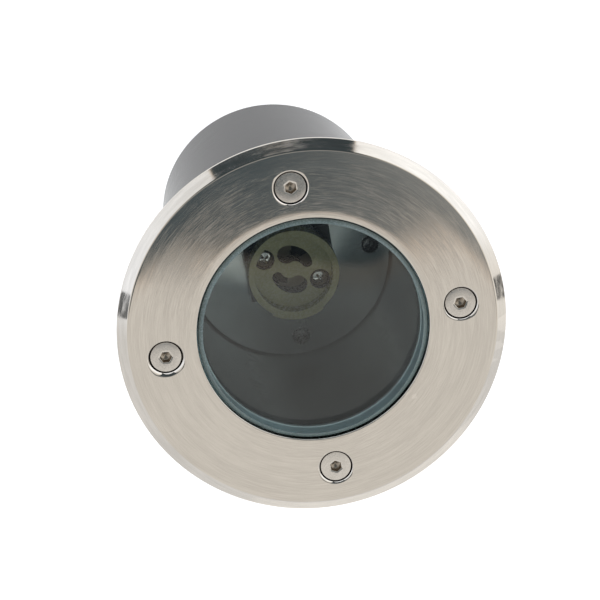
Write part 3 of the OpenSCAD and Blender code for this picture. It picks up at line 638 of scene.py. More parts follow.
def gland_body(look):
    """Threaded spigot, chamfered hexagon and lower thread round one bore."""
    r, z = profile("gland_body")
    flats, turn, slant = hexagon_of("gland_body")
    hex_z = z[near(r, r.max())]
    top, bottom, bore_r = z.max(), z.min(), r.min()
    upper_r, lower_r = r[near(z, top)].max(), r[near(z, bottom)].max()
    seal_r = r[near(z, bottom)].min()
    seal_z = z[near(r, seal_r)].max()
    low, high = hex_z.min(), hex_z.max()
    tip = 0.5 * MM
    pitch = look.gland_pitch
    outline = np.concatenate([
        [(bore_r, (seal_z + top) / 2), (bore_r, seal_z), (seal_r, seal_z), (seal_r, bottom)],
        [(lower_r - tip, bottom), (lower_r, bottom + tip)],
        stretch(lower_r, bottom + 1.2 * tip, low - 0.2 * tip, pitch / 8),
        rounded([(lower_r, low), (flats, low), (r.max(), low + slant), (r.max(), high - slant), (flats, high),
                 (upper_r, high)], 0.15 * MM, 3),
        stretch(upper_r, high + 0.2 * tip, top - 1.2 * tip, pitch / 8),
        [(upper_r, top - tip), (upper_r - tip, top), (bore_r, top), (bore_r, (seal_z + top) / 2)]])
    lower_cut = thread(pitch, pitch * 0.45, bottom, low, lower_r * 0.99)
    upper_cut = thread(pitch, pitch * 0.45, high, top, upper_r * 0.99)

    def cut(a, at_r, at_z):
        return np.where(at_z < low, lower_cut(a, at_r, at_z), upper_cut(a, at_r, at_z) * (at_z > high))

    return [(turned(outline, NUT, cut=cut, flats=flats, turn=turn), True)]


def lock_nut():
    """Thin hexagonal nut with both rims chamfered."""
    r, z = profile("gland_lock_nut")
    flats, turn, slant = hexagon_of("gland_lock_nut")
    outline = closed([
        (r.min(), z.min()), (flats, z.min()), (r.max(), z.min() + slant), (r.max(), z.max() - slant),
        (flats, z.max()), (r.min(), z.max())], 0.15 * MM, 3)
    return [(turned(outline, NUT, flats=flats, turn=turn), True)]


def compression_nut():
    """Domed cap nut: a hexagon above, a rounded cone to the cable's mouth below, hollow inside."""
    r, z = profile("gland_nut")
    flats, turn, slant = hexagon_of("gland_nut")
    hex_low = z[near(r, r.max())].min()
    top, bottom, mouth_r = z.max(), z.min(), r.min()
    end_r = r[near(z, bottom)].max()
    dome_z = z[near(r, flats)].min()
    inner_r = r[near(z, top)].min()
    floor_z = z[near(r, inner_r)].min()
    outline = closed([
        (mouth_r, bottom), (end_r, bottom), (flats, dome_z), (flats, hex_low - 0.2 * MM),
        (r.max(), hex_low + slant), (r.max(), top - slant), (flats, top), (inner_r, top),
        (inner_r, floor_z), (mouth_r, floor_z)],
        mm(0.4, 0.8, 1.2, 0.1, 0.15, 0.15, 0.15, 0.2, 0.2, 0.3), 6)
    return [(turned(outline, NUT, flats=flats, turn=turn), True)]


def grommet():
    """Rubber bush with a flange on each side of the plate."""
    r, z = profile("lead_grommet")
    neck_r = np.unique(np.round(r, 5))[1]
    inner = z[near(r, neck_r)]
    outline = closed([
        (r.min(), z.min()), (r.max(), z.min()), (r.max(), inner.min()), (neck_r, inner.min()),
        (neck_r, inner.max()), (r.max(), inner.max()), (r.max(), z.max()), (r.min(), z.max())],
        mm(0.5, 0.5, 0.15, 0.1, 0.1, 0.15, 0.5, 0.5), 5)
    return [(turned(outline, SMALL), True)]


# Node helpers

class Nodes:
    """Adds nodes to one node tree. An input is a number, a colour or another node's output."""

    def __init__(self, tree):
        self.tree = tree

    def add(self, kind, inputs=None, **settings):
        """New node of the kind, with its inputs fed by name or number."""
        node = self.tree.nodes.new(kind)
        for name, value in settings.items():
            setattr(node, name, value)
        for name, value in (inputs or {}).items():
            self.feed(node.inputs[name], value)
        return node

    def feed(self, socket, value):
        """Links the socket to the value where it is an output, or sets it."""
        if isinstance(value, bpy.types.NodeSocket):
            self.tree.links.new(value, socket)
        elif socket.type == "RGBA":
            socket.default_value = (*value[:3], 1.0)
        else:
            socket.default_value = value

    def math(self, operation, a, b=0.0, clamp=False):
        return self.add("ShaderNodeMath", {0: a, 1: b}, operation=operation, use_clamp=clamp).outputs[0]

    def times(self, a, b, clamp=False):
        return self.math("MULTIPLY", a, b, clamp)

    def plus(self, a, b, clamp=False):
        return self.math("ADD", a, b, clamp)

    def minus(self, a, b):
        return self.math("SUBTRACT", a, b)

    def vector(self, operation, a, b=(0, 0, 0), output=0):
        return self.add("ShaderNodeVectorMath", {0: a, 1: b}, operation=operation).outputs[output]

    def split(self, vector):
        return self.add("ShaderNodeSeparateXYZ", {0: vector}).outputs

    def join(self, x, y, z):
        return self.add("ShaderNodeCombineXYZ", {0: x, 1: y, 2: z}).outputs[0]

    def ramp(self, value, low, high, out_low=0.0, out_high=1.0):
        """Value mapped from low..high to out_low..out_high by a smooth step."""
        return self.add("ShaderNodeMapRange", {0: value, 1: low, 2: high, 3: out_low, 4: out_high},
                        interpolation_type="SMOOTHSTEP").outputs[0]

    def noise(self, vector, scale, detail=3.0, roughness=0.55):
        return self.add("ShaderNodeTexNoise", {
            "Vector": vector, "Scale": scale, "Detail": detail, "Roughness": roughness}).outputs[0]

    def mix(self, share, a, b):
        """Colour a with a share of colour b."""
        node = self.add("ShaderNodeMix", data_type="RGBA")
        for socket, value in zip((node.inputs[0], node.inputs[6], node.inputs[7]), (share, a, b)):
            self.feed(socket, value)
        return node.outputs[2]

    def bump(self, height, strength, depth):
        inputs = {"Height": height, "Strength": strength, "Distance": depth}
        return self.add("ShaderNodeBump", inputs).outputs[0]

    def group(self, name, **inputs):
        """Outputs of a shared group with these inputs."""
        node = self.add("ShaderNodeGroup", node_tree=bpy.data.node_groups[name])
        for label, value in inputs.items():
            self.feed(node.inputs[label], value)
        return node.outputs

    def dress(self, shader, **inputs):
        """Feeds the shader's inputs, whose names have _ for a space."""
        for name, value in inputs.items():
            self.feed(shader.inputs[name.replace("_", " ")], value)

    def show(self, share, first, second):
        """Sends a mix of two shaders to the material's output."""
        mixed = self.add("ShaderNodeMixShader", {0: share, 1: first.outputs[0], 2: second.outputs[0]})
        self.feed(self.tree.nodes["Material Output"].inputs["Surface"], mixed.outputs[0])


def shared(name, wire, inputs, outputs):
    """New shader node group, its sockets named by the words: Place and Centre are vectors, the rest
    numbers."""
    tree = bpy.data.node_groups.new(name, "ShaderNodeTree")
    for side, labels in (("INPUT", inputs), ("OUTPUT", outputs)):
        for label in labels.split():
            kind = "NodeSocketVector" if label in ("Place", "Centre") else "NodeSocketFloat"
            tree.interface.new_socket(name=label, in_out=side, socket_type=kind)
    source, sink = tree.nodes.new("NodeGroupInput"), tree.nodes.new("NodeGroupOutput")
    n = Nodes(tree)
    for label, value in wire(n, source.outputs).items():
        n.feed(sink.inputs[label], value)


def turned_lines(n, given):
    """Fine lines round an axis: noise of (radius, cosine, sine), stretched far along the turn."""
    x, y, z = n.split(n.vector("SUBTRACT", given["Place"], given["Centre"]))
    flat = n.join(x, y, 0.0)
    r = n.vector("LENGTH", flat, output=1)
    around = n.vector("NORMALIZE", flat)
    cx, cy, _ = n.split(around)
    fine = n.times(r, given["Fineness"])
    high = n.times(z, given["Fineness"])
    cx, cy = n.times(cx, given["Around"]), n.times(cy, given["Around"])
    lines = n.noise(n.join(n.plus(fine, high), cx, cy), 1.0, 4.0, 0.65)
    return {"Lines": lines, "Radius": r}


def surface_grain(n, given):
    """Two sizes of noise, a coarse mottle and a fine grain, both from 0 to 1."""
    coarse = n.noise(given["Place"], given["Coarse"], 3.0, 0.6)
    fine = n.noise(given["Place"], given["Fine"], 2.0, 0.5)
    return {"Mottle": n.ramp(coarse, 0.3, 0.7), "Grain": n.ramp(fine, 0.25, 0.75)}


def edge_wear_and_highlight(n, given):
    """Mask of the raised edges, broken up by a noise: they are lightened as rubbed metal, and on the small
    zinc screws as a painted highlight.
    """
    sharpness = n.add("ShaderNodeNewGeometry").outputs["Pointiness"]
    broken = n.noise(given["Place"], given["Scale"], 3.0, 0.6)
    edge = n.ramp(n.plus(sharpness, n.times(n.minus(broken, 0.5), 0.04)), 0.52, 0.58)
    return {"Mask": n.times(edge, given["Amount"], clamp=True)}


def settled_dust(n, given):
    """Mask of dust: where the surface faces up, in soft patches."""
    up = n.split(n.add("ShaderNodeNewGeometry").outputs["Normal"])[2]
    patches = n.ramp(n.noise(given["Place"], given["Scale"], 4.0, 0.65), 0.4, 0.75)
    specks = n.ramp(n.noise(given["Place"], n.times(given["Scale"], 14.0), 2.0, 0.5), 0.62, 0.72)
    amount = n.times(n.ramp(up, 0.2, 0.9), n.math("MAXIMUM", patches, specks))
    return {"Mask": n.times(amount, given["Amount"], clamp=True)}


def make_groups():
    """Makes the four node groups that the finishes share."""
    for group in (
            ("Turned lines", turned_lines, "Place Centre Fineness Around", "Lines Radius"),
            ("Grain", surface_grain, "Place Coarse Fine", "Mottle Grain"),
            ("Edge wear", edge_wear_and_highlight, "Place Scale Amount", "Mask"),
            ("Dust", settled_dust, "Place Scale Amount", "Mask")):
        shared(*group)


def material(name, wire):
    """New material: wire(n, shader, place) sets up the Principled shader by the place on the object."""
    made = bpy.data.materials.new(name)
    made.use_nodes = True
    n = Nodes(made.node_tree)
    wire(n, made.node_tree.nodes["Principled BSDF"], n.add("ShaderNodeTexCoord").outputs["Object"])
    return made


# Finishes

def toned(colour, by):
    """Colour made lighter or darker by a factor, held under 1."""
    return [min(1.0, c * by) for c in colour]


def steel(name, look, centre=(0, 0, 0), fineness=4200.0, head=None):
    """Turned stainless steel: fine lines round the centre in colour, roughness and bump. A screw's head,
    given by its socket's radius, its own radius and its height, has a duller socket with painted shade and a
    warm painted reflection, and a rim painted dark for the shade in the gap round it."""
    colour, roughness = look.colour, look.roughness

    def wire(n, shader, place):
        fine, broad, strokes = (
            n.group("Turned lines", Place=place, Centre=centre, Fineness=fineness * finer, Around=around)
            for finer, around in ((1, 5.0), (1 / 9, 2.0), (1.1, 9.0)))
        grain = n.group("Grain", Place=place, Coarse=55.0, Fine=900.0)
        wear = n.group("Edge wear", Place=place, Scale=900.0, Amount=0.5)
        shade = n.plus(n.times(fine["Lines"], 0.6), n.times(broad["Lines"], 0.4))
        tint = n.mix(n.ramp(shade, 0.35, 0.65), toned(colour, 0.86), colour)
        tint = n.mix(n.times(grain["Mottle"], 0.18), tint, toned(colour, 0.9))
        tint = n.mix(wear["Mask"], tint, toned(colour, 1.12))
        rough = n.plus(n.times(grain["Mottle"], 0.1), strokes["Lines"])
        rough = n.ramp(rough, 0.42, 0.8, roughness * 0.85, roughness * 1.95)
        if head:
            socket_r, head_r, top = head
            inside = n.times(n.ramp(fine["Radius"], socket_r, socket_r - 0.05 * MM),
                             n.ramp(n.split(place)[2], top - 0.08 * MM, top - 0.16 * MM))
            # Painted shade and a warm painted reflection in the socket, then painted shade in the gap round
            # the rim
            tint = n.mix(inside, tint, look.socket_shade)
            tint = n.mix(n.ramp(fine["Radius"], head_r - 0.17 * MM, head_r - 0.1 * MM), tint, look.rim_shade)
            rough = n.math("MAXIMUM", rough, n.times(inside, 0.3))
        height = n.plus(n.times(fine["Lines"], 0.35), broad["Lines"])
        aim = n.add("ShaderNodeTangent", direction_type="RADIAL", axis="Z")
        n.dress(shader, Base_Color=tint, Metallic=1.0, Roughness=rough,
                Anisotropic=look.anisotropy, Anisotropic_Rotation=0.25, Tangent=aim.outputs[0],
                Normal=n.bump(height, 0.5, look.line_depth))
    return material(name, wire)


def clear_glass(look):
    """Clear pane with faint smears, which lets lamp rays through."""
    def wire(n, shader, place):
        smear = n.group("Grain", Place=place, Coarse=30.0, Fine=400.0)
        tint = n.mix(smear["Mottle"], look.glass_colour, toned(look.glass_colour, 0.985))
        n.dress(shader, Base_Color=tint, Roughness=n.ramp(smear["Mottle"], 0.3, 0.9, 0.0, 0.012),
                Transmission_Weight=1.0, IOR=look.glass_ior)
        through = n.add("ShaderNodeBsdfTransparent", {"Color": look.glass_colour})
        n.show(n.add("ShaderNodeLightPath").outputs["Is Shadow Ray"], shader, through)
    return material("lens_glass", wire)


def ground_glass(look, edge_z):
    """Pale ground edge of the glass, finely grained, over the step's wall, which is painted near black for
    the shade in the gap round the glass.
    """
    def wire(n, shader, place):
        grain = n.group("Grain", Place=place, Coarse=90.0, Fine=2400.0)
        tint = n.mix(grain["Mottle"], toned(look.ground_colour, 0.88), toned(look.ground_colour, 1.1))
        # Painted shade: the step's wall under the ground edge is made near black
        wall = n.ramp(n.split(place)[2], edge_z + 0.1 * MM, edge_z)
        n.dress(shader, Base_Color=n.mix(wall, tint, look.wall_shade),
                Roughness=n.ramp(grain["Grain"], 0.0, 1.0, 0.2, 0.3), Transmission_Weight=0.2,
                IOR=look.glass_ior, Normal=n.bump(grain["Grain"], 0.3, 0.004 * MM))
    return material("ground_glass", wire)


def cast_metal(look):
    """Satin grey cast metal with fine circular tool lines, darker on the barrel's outside."""
    def wire(n, shader, place):
        lines = n.group("Turned lines", Place=place, Centre=(0, 0, 0), Fineness=3000.0, Around=3.0)
        grain = n.group("Grain", Place=place, Coarse=70.0, Fine=2200.0)
        wear = n.group("Edge wear", Place=place, Scale=700.0, Amount=0.6)
        outside = n.ramp(lines["Radius"], look.bare_to - 0.3 * MM, look.bare_to + 0.3 * MM)
        base = n.mix(outside, look.inner_colour, look.metal_colour)
        streaks = n.plus(n.times(n.ramp(lines["Lines"], 0.3, 0.7), 0.16), n.times(grain["Mottle"], 0.06))
        tint = n.vector("MULTIPLY", base, n.join(*[n.plus(0.88, streaks)] * 3))
        rough = look.metal_roughness
        height = n.plus(lines["Lines"], n.times(grain["Grain"], 0.5))
        n.dress(shader, Base_Color=n.mix(wear["Mask"], tint, toned(look.metal_colour, 1.7)),
                Metallic=look.metal_share, IOR=look.metal_ior,
                Roughness=n.ramp(lines["Lines"], 0.3, 0.7, rough - 0.05, rough + 0.07),
                Normal=n.bump(height, 0.5, 0.016 * MM))
    return material("housing_metal", wire)


def speckled_plate(look):
    """Bright plate with light and dark specks, and painted light that makes it brighter towards -x."""
    def wire(n, shader, place):
        base = look.plate_colour
        grain = n.group("Grain", Place=place, Coarse=160.0, Fine=2600.0)
        cells = n.add("ShaderNodeTexVoronoi", {"Vector": place, "Scale": 1500.0}).outputs["Distance"]
        speck = n.ramp(n.minus(grain["Grain"], n.times(cells, 0.5)), 0.15, 0.5)
        tint = n.mix(speck, toned(base, 0.95), toned(base, 1.03))
        # Painted light: the plate grows up to half as bright again towards -x
        painted_light = n.ramp(n.split(place)[0], 0.0, PLATE_LIT_X, 1.0, 1.5)
        tint = n.vector("MULTIPLY", tint, n.join(painted_light, painted_light, painted_light))
        n.dress(shader, Base_Color=n.mix(n.times(grain["Mottle"], 0.25), tint, toned(base, 0.88)),
                Metallic=0.95, Roughness=n.ramp(grain["Mottle"], 0.0, 1.0, 0.21, 0.17),
                Normal=n.bump(grain["Mottle"], 0.3, 0.004 * MM))
    return material("plate_metal", wire)


def moulded(name, colour, roughness, scale=600.0, depth=0.01 * MM, wear=0.25, dust=0.15, metallic=0.0,
            dark_below=None, dark_share=0.08):
    """Moulded, painted or plated finish: mottled colour, fine grain, lighter edges from rubbing, which on the
    small zinc screws stand for a painted highlight, and a little dust. Below the height dark_below it is
    painted in shade, at dark_share of its colour."""
    def wire(n, shader, place):
        grain = n.group("Grain", Place=place, Coarse=scale / 8, Fine=scale * 3)
        edge = n.group("Edge wear", Place=place, Scale=scale, Amount=wear)
        film = n.group("Dust", Place=place, Scale=scale / 6, Amount=dust)
        tint = n.mix(grain["Mottle"], toned(colour, 0.88), colour)
        # Lighter raised edges: rubbed, and on the small zinc screws a painted highlight
        tint = n.mix(edge["Mask"], tint, [min(1.0, c * 1.25 + 0.02) for c in colour])
        tint = n.mix(film["Mask"], tint, [0.5 * (c + d) for c, d in zip(colour, DUST)])
        # Painted shade below a height: in the lampholder's slots and pockets, and on the gasket low in the
        # housing
        if dark_below is not None:
            depths = n.ramp(n.split(place)[2], dark_below, dark_below - 0.8 * MM)
            tint = n.mix(depths, tint, toned(colour, dark_share))
        rough = n.ramp(grain["Grain"], 0.0, 1.0, roughness - 0.05, roughness + 0.05)
        n.dress(shader, Base_Color=tint, Metallic=metallic,
                Roughness=n.plus(rough, n.times(film["Mask"], 0.3), clamp=True),
                Normal=n.bump(grain["Grain"], 0.5, depth))
    return material(name, wire)


def plated(name, colour, roughness, dust=0.0, **more):
    """Bare or plated metal: the moulded finish, clean and metallic."""
    return moulded(name, colour, roughness, dust=dust, metallic=1.0, **more)


def striped(name, colour, band, turns):
    """Two-colour wire insulation: a band winds round, by the sum of the three coordinates."""
    def wire(n, shader, place):
        grain = n.group("Grain", Place=place, Coarse=120.0, Fine=1500.0)
        x, y, z = n.split(place)
        wave = n.math("SINE", n.times(n.plus(n.plus(x, y), z), turns))
        tint = n.mix(n.ramp(wave, -0.1, 0.1), colour, band)
        n.dress(shader, Base_Color=n.mix(n.times(grain["Mottle"], 0.2), tint, toned(colour, 0.7)),
                Roughness=n.ramp(grain["Grain"], 0.0, 1.0, 0.42, 0.55),
                Normal=n.bump(grain["Grain"], 0.3, 0.01 * MM))
    return material(name, wire)


# Settings

def number(name, text, value, **limits):
    return FloatProperty(name=name, description=text, default=value, **limits)


def length(name, text, value):
    return number(name, text, value, min=0, unit="LENGTH", precision=5)


def colour(name, text, value):
    return FloatVectorProperty(name=name, description=text, default=value, min=0, max=1, subtype="COLOR")


def share(name, text, value):
    return number(name, text, value, min=0, max=1, subtype="FACTOR")


class RingLook(bpy.types.PropertyGroup):
    crown: length("Crown", "Drop of the face towards the bevel", 0.05 * MM)
    crown_from: length("Crown from", "Radius where the face starts to fall outwards", 47 * MM)
    roll: length("Roll", "Drop of the face towards the window", 0.04 * MM)
    roll_from: length("Roll from", "Radius where the face starts to fall inwards", 35.4 * MM)
    bevel_round: length("Bevel rounding", "Rounding between the face and the bevel", 1.0 * MM)
    edge_round: length("Edge rounding", "Rounding of the outer edges", 0.13 * MM)
    window_round: length("Window rounding", "Rounding of the window's edge", 0.34 * MM)
    face_round: length("Face rounding", "Width kept for the bevel's rounding", 0.9 * MM)
    hole_zone: length("Hole zone", "Half width of the patch round a screw", 6.4 * MM)
    dish_steep: number("Dish steepness", "Depth of the dished lip over its width", 0.72, min=0.3, max=1.5)
    dish_reach: share("Dish reach", "Width of the dished lips over the left one's", 0.55)
    line_depth: length("Line depth", "Depth of the turned lines in the face", 0.006 * MM)
    colour: colour("Steel", "Colour of the brushed steel", (0.63, 0.585, 0.525))
    roughness: share("Roughness", "Roughness of the brushed steel", 0.068)
    anisotropy: share("Anisotropy", "Stretch of the highlights across the brush lines", 0.5)


class ScrewLook(bpy.types.PropertyGroup):
    socket_break: length("Socket break", "Broken edge of the hexagonal socket", 0.1 * MM)
    head_break: length("Head break", "Broken edge of the head", 0.18 * MM)
    head_crown: length("Head crown", "Drop of the head's face towards its edge", 0.03 * MM)
    drill_share: share("Drill share", "Drill point's radius over the socket's half width", 0.92)
    thread_pitch: length("Thread pitch", "Pitch of the cover screws' thread", 0.8 * MM)
    cross_share: share("Cross", "Arm of the crossed recess over the head's radius", 0.6)
    cross_width_share: share("Cross width", "Half width of an arm over the head's radius", 0.13)
    cross_depth_share: share("Cross depth", "Depth of the crossed recess over the head's height", 0.5)
    line_depth: length("Line depth", "Depth of the turning lines in the heads", 0.004 * MM)
    colour: colour("Screws", "Colour of the cover screws", (0.66, 0.62, 0.57))
    # Painted shade: the sockets' colour, with a warm painted reflection, and the dark rims, for the gap round
    # each head
    socket_shade: colour("Sockets", "Colour inside the sockets", (0.42, 0.37, 0.31))
    rim_shade: colour("Rims", "Colour of the heads' grimy rims", (0.06, 0.055, 0.05))
    roughness: share("Roughness", "Roughness of the cover screws", 0.14)
    anisotropy: share("Anisotropy", "Stretch of the highlights across the turning lines", 0.4)


class GlassLook(bpy.types.PropertyGroup):
    flange_round: length("Flange rounding", "Rounding of the glass flange", 0.5 * MM)
    slant: length("Slant", "Width of the slanted edge of the step", 1.25 * MM)
    edge_round: length("Edge rounding", "Rounding of the slanted edge's two borders", 0.22 * MM)
    glass_ior: number("Index", "Refractive index of the glass", 1.4, min=1, max=2)
    glass_colour: colour("Glass", "Tint of the glass", (0.93, 0.985, 0.97))
    ground_colour: colour("Ground edge", "Colour of the glass's ground edge", (0.2, 0.26, 0.26))
    # Painted shade for the gap round the glass
    wall_shade: colour("Step's wall", "Colour of the ground wall under that edge", (0.015, 0.02, 0.017))
    gasket_colour: colour("Gasket", "Colour of the gasket", (0.78, 0.93, 0.97))


class HousingLook(bpy.types.PropertyGroup):
    metal_colour: colour("Cast metal", "Colour of the housing's outside", (0.042, 0.041, 0.041))
    inner_colour: colour("Bare metal", "Colour inside the barrel", (0.06, 0.063, 0.065))
    bare_to: length("Bare to", "Radius that parts the bare inside from the darker outside", 33.5 * MM)
    metal_share: share("Metallic", "Share of bare metal in the housing's finish", 0.15)
    metal_ior: number("Sheen", "Index of the housing's satin film", 1.2, min=1, max=2)
    metal_roughness: share("Roughness", "Roughness of the housing", 0.15)
    plate_colour: colour("Plate", "Colour of the partition plate", (0.4, 0.42, 0.42))
    gland_pitch: length("Gland pitch", "Pitch of the gland's threads", 1.5 * MM)


class HolderLook(bpy.types.PropertyGroup):
    ceramic: colour("Ceramic", "Colour of the lampholder", (0.42, 0.395, 0.21))
    # Painted shade: the bronze contacts are made near black for the shade in the slots
    contact: colour("Contacts", "Colour of the spring contacts", (0.014, 0.01, 0.008))
    bracket: colour("Bracket", "Colour of the bracket's enamel", (0.016, 0.015, 0.012))


class StageLook(bpy.types.PropertyGroup):
    lens: number("Lens", "Focal length in millimetres on a 36 mm sensor", 144.7)
    floor_drop: length("Floor drop", "Depth of the floor below the ring", 0.175)
    bright: number("Tent", "Brightness of the light tent's top", 0.95, min=0)
    walls: number("Walls", "Brightness of the tent's lower back part", 1.4, min=0)
    card: colour("Card", "Colour of the dark card overhead", (0.1, 0.13, 0.15))
    pale: colour("Card's middle", "Colour of the card's paler middle, right overhead", (0.52, 0.52, 0.51))
    card_right: colour("Card's right", "Colour of the card towards the right", (0.36, 0.38, 0.39))
    fringe: colour("Fringe", "Warm light along the card's edge", (0.97, 0.84, 0.72))


LOOKS = {"ring_look": RingLook, "screw_look": ScrewLook, "glass_look": GlassLook,
         "housing_look": HousingLook, "holder_look": HolderLook, "stage_look": StageLook}


# Operators

class LightOperator:
    bl_options = {"REGISTER", "UNDO"}

    def execute(self, context):
        self.make(context.scene)
        return {"FINISHED"}


class GROUNDLIGHT_OT_ring(LightOperator, bpy.types.Operator):
    """Make the brushed steel ring with its four dished countersinks"""
    bl_idname = "ground_light.ring"
    bl_label = "Steel ring"

    def make(self, scene):
        look = scene.ring_look
        piece("steel_ring", steel_ring(look), steel("ring_steel", look), "trim_ring")


class GROUNDLIGHT_OT_cover_screws(LightOperator, bpy.types.Operator):
    """Make the four countersunk socket screws of the cover"""
    bl_idname = "ground_light.cover_screws"
    bl_label = "Cover screws"

    def make(self, scene):
        look = scene.screw_look
        for i in range(4):
            node = f"cover_screw_{i + 1}"
            points = corners(node)
            centre, r, z = about_middle(points)
            socket_r = r[near(z, z.max()) & (r < r.max() / 2)].max()
            finish = steel(f"screw_steel_{i + 1}", look, (*centre, 0), 5200.0, (socket_r, r.max(), z.max()))
            piece(f"socket_screw_{i + 1}", cover_screw(points, look), finish, node)


class GROUNDLIGHT_OT_glass(LightOperator, bpy.types.Operator):
    """Make the stepped glass and the gasket round its flange"""
    bl_idname = "ground_light.glass"
    bl_label = "Glass and gasket"

    def make(self, scene):
        look = scene.glass_look
        pane = piece("stepped_glass", glass_solid(look), clear_glass(look), "glass_lens")
        pane.data.materials.append(ground_glass(look, glass_step()[2]))
        mark_edge(pane.data, look)
        rubber = moulded("silicone", look.gasket_colour, 0.45, wear=0.1, dark_below=GASKET_SHADE_Z,
                         dark_share=0.2)
        piece("channel_gasket", lens_gasket(), rubber, "lens_gasket")


class GROUNDLIGHT_OT_housing(LightOperator, bpy.types.Operator):
    """Make the housing's barrel and finish its head and floor"""
    bl_idname = "ground_light.housing"
    bl_label = "Housing"

    def make(self, scene):
        finish = cast_metal(scene.housing_look)
        piece("turned_barrel", barrel(), finish, "housing_barrel")
        softened("housing_head", finish)
        softened("housing_floor", finish)


class GROUNDLIGHT_OT_plate(LightOperator, bpy.types.Operator):
    """Make the partition plate, its screws and the leads' grommet"""
    bl_idname = "ground_light.plate"
    bl_label = "Partition plate"

    def make(self, scene):
        softened("partition_plate", speckled_plate(scene.housing_look))
        dark = plated("dark_screws", (0.1, 0.1, 0.1), 0.25, dust=0.1)
        piece("pan_screws_plate", pan_screws("plate_screws", scene.screw_look), dark, "plate_screws")
        rubber = moulded("grommet_rubber", (0.03, 0.03, 0.03), 0.55)
        piece("rubber_bush", grommet(), rubber, "lead_grommet")


class GROUNDLIGHT_OT_lampholder(LightOperator, bpy.types.Operator):
    """Make the ceramic lampholder with its contacts, screws, back and bracket"""
    bl_idname = "ground_light.lampholder"
    bl_label = "Lampholder"

    def make(self, scene):
        look = scene.holder_look
        ceramic = moulded("ceramic", look.ceramic, 0.26, 500.0, 0.006 * MM, 0.35, 0.0,
                          dark_below=SLOT_SHADE_Z)
        softened("lampholder_body", ceramic)
        softened("lampholder_back", moulded("fibre_board", (0.3, 0.25, 0.17), 0.7, 800.0))
        # The bronze contacts take painted shade: near black, as in the slots' shade
        bronze = plated("contact_bronze", look.contact, 0.4, depth=0.002 * MM, wear=0.0)
        for node in ("live_contact", "neutral_contact"):
            softened(node, bronze)
        enamel = moulded("black_steel", look.bracket, 0.35, 500.0, dust=0.0)
        softened("lamp_bracket", enamel)
        # Painted highlight: these screws' edges are lightened to stand for glints
        zinc = plated("zinc_screws", (0.42, 0.42, 0.41), 0.07, depth=0.002 * MM, wear=0.5)
        for node in ("lampholder_screws", "bracket_screws"):
            piece("pan_" + node, pan_screws(node, scene.screw_look), zinc, node)


class GROUNDLIGHT_OT_wiring(LightOperator, bpy.types.Operator):
    """Finish the leads, the terminal block and the earth terminal"""
    bl_idname = "ground_light.wiring"
    bl_label = "Wiring"

    def make(self, scene):
        look = scene.screw_look
        for node, tone in (("live_lead", (0.2, 0.09, 0.04)), ("neutral_lead", (0.03, 0.12, 0.42))):
            softened(node, moulded(SLOT_OF[node], tone, 0.45, dust=0.0))
        earth = striped("striped_insulation", (0.1, 0.32, 0.06), (0.75, 0.66, 0.05), 900.0)
        softened("earth_lead", earth)
        softened("terminal_block", moulded("white_nylon", (0.8, 0.8, 0.76), 0.45))
        brass = plated("brass", (0.8, 0.6, 0.28), 0.25)
        softened("terminal_clamps", brass)
        zinc = plated("terminal_zinc", (0.75, 0.75, 0.73), 0.25)
        for node in ("clamp_screws", "block_screws"):
            piece("pan_" + node, pan_screws(node, look), zinc, node)
        softened("earth_lug", plated("tinned_copper", (0.72, 0.7, 0.66), 0.3))
        piece("pan_earth_screw", pan_screws("earth_screw", look), brass, "earth_screw")


class GROUNDLIGHT_OT_gland(LightOperator, bpy.types.Operator):
    """Make the cable gland with its washer, seal and nuts"""
    bl_idname = "ground_light.gland"
    bl_label = "Cable gland"

    def make(self, scene):
        nylon = moulded("black_nylon", (0.022, 0.022, 0.023), 0.42, 500.0, 0.02 * MM)
        rubber = moulded("black_rubber", (0.028, 0.028, 0.027), 0.6, 700.0)
        piece("threaded_gland", gland_body(scene.housing_look), nylon, "gland_body")
        piece("thin_nut", lock_nut(), nylon, "gland_lock_nut")
        piece("cap_nut", compression_nut(), nylon, "gland_nut")
        piece("sealing_washer", plain_ring("gland_washer", 0.25 * MM), rubber, "gland_washer")
        piece("cable_seal", plain_ring("gland_seal", 0.3 * MM), rubber, "gland_seal")


class GROUNDLIGHT_OT_stage(LightOperator, bpy.types.Operator):
    """Set up the camera, the pale floor and the light tent"""
    bl_idname = "ground_light.stage"
    bl_label = "Stage"

    def make(self, scene):
        look = scene.stage_look
        set_camera(scene, look)
        set_floor(look)
        set_tent(scene, look)
        scene.view_settings.view_transform = "Standard"
        scene.cycles.use_denoising = True


def set_camera(scene, look):
    """Camera at the photograph's place, turned about x, y and z in that order."""
    camera = bpy.data.cameras.new("photo_camera")
    camera.lens = look.lens
    camera.sensor_width = 36
    camera.clip_start, camera.clip_end = 0.01, 20
    holder = bpy.data.objects.new("photo_camera", camera)
    turn = Euler([radians(a) for a in CAMERA_TURN]).to_matrix().to_4x4()
    holder.matrix_world = Matrix.Translation(CAMERA_PLACE) @ turn
    scene.collection.objects.link(holder)
    scene.camera = holder


def set_floor(look):
    """Round pale floor that also glows a little, so that it stays even. It is clear from below."""
    outline = np.array([(r, -look.floor_drop) for r in (0, 0.2, FLOOR_R)])
    mesh = mesh_of("pale_floor", [(turned(outline, TINY), True)])
    if mesh.polygons[0].normal.z < 0:
        mesh.flip_normals()
    floor = bpy.data.objects.new("pale_floor", mesh)
    bpy.context.scene.collection.objects.link(floor)

    def wire(n, shader, place):
        tone = n.group("Grain", Place=place, Coarse=6.0, Fine=60.0)
        n.dress(shader, Base_Color=n.mix(tone["Mottle"], [0.78] * 3, [0.8] * 3), Roughness=0.9,
                Emission_Color=(1, 1, 1), Emission_Strength=0.55)
        below = n.add("ShaderNodeNewGeometry").outputs["Backfacing"]
        n.show(below, shader, n.add("ShaderNodeBsdfTransparent"))

    mesh.materials.append(material("pale_floor", wire))


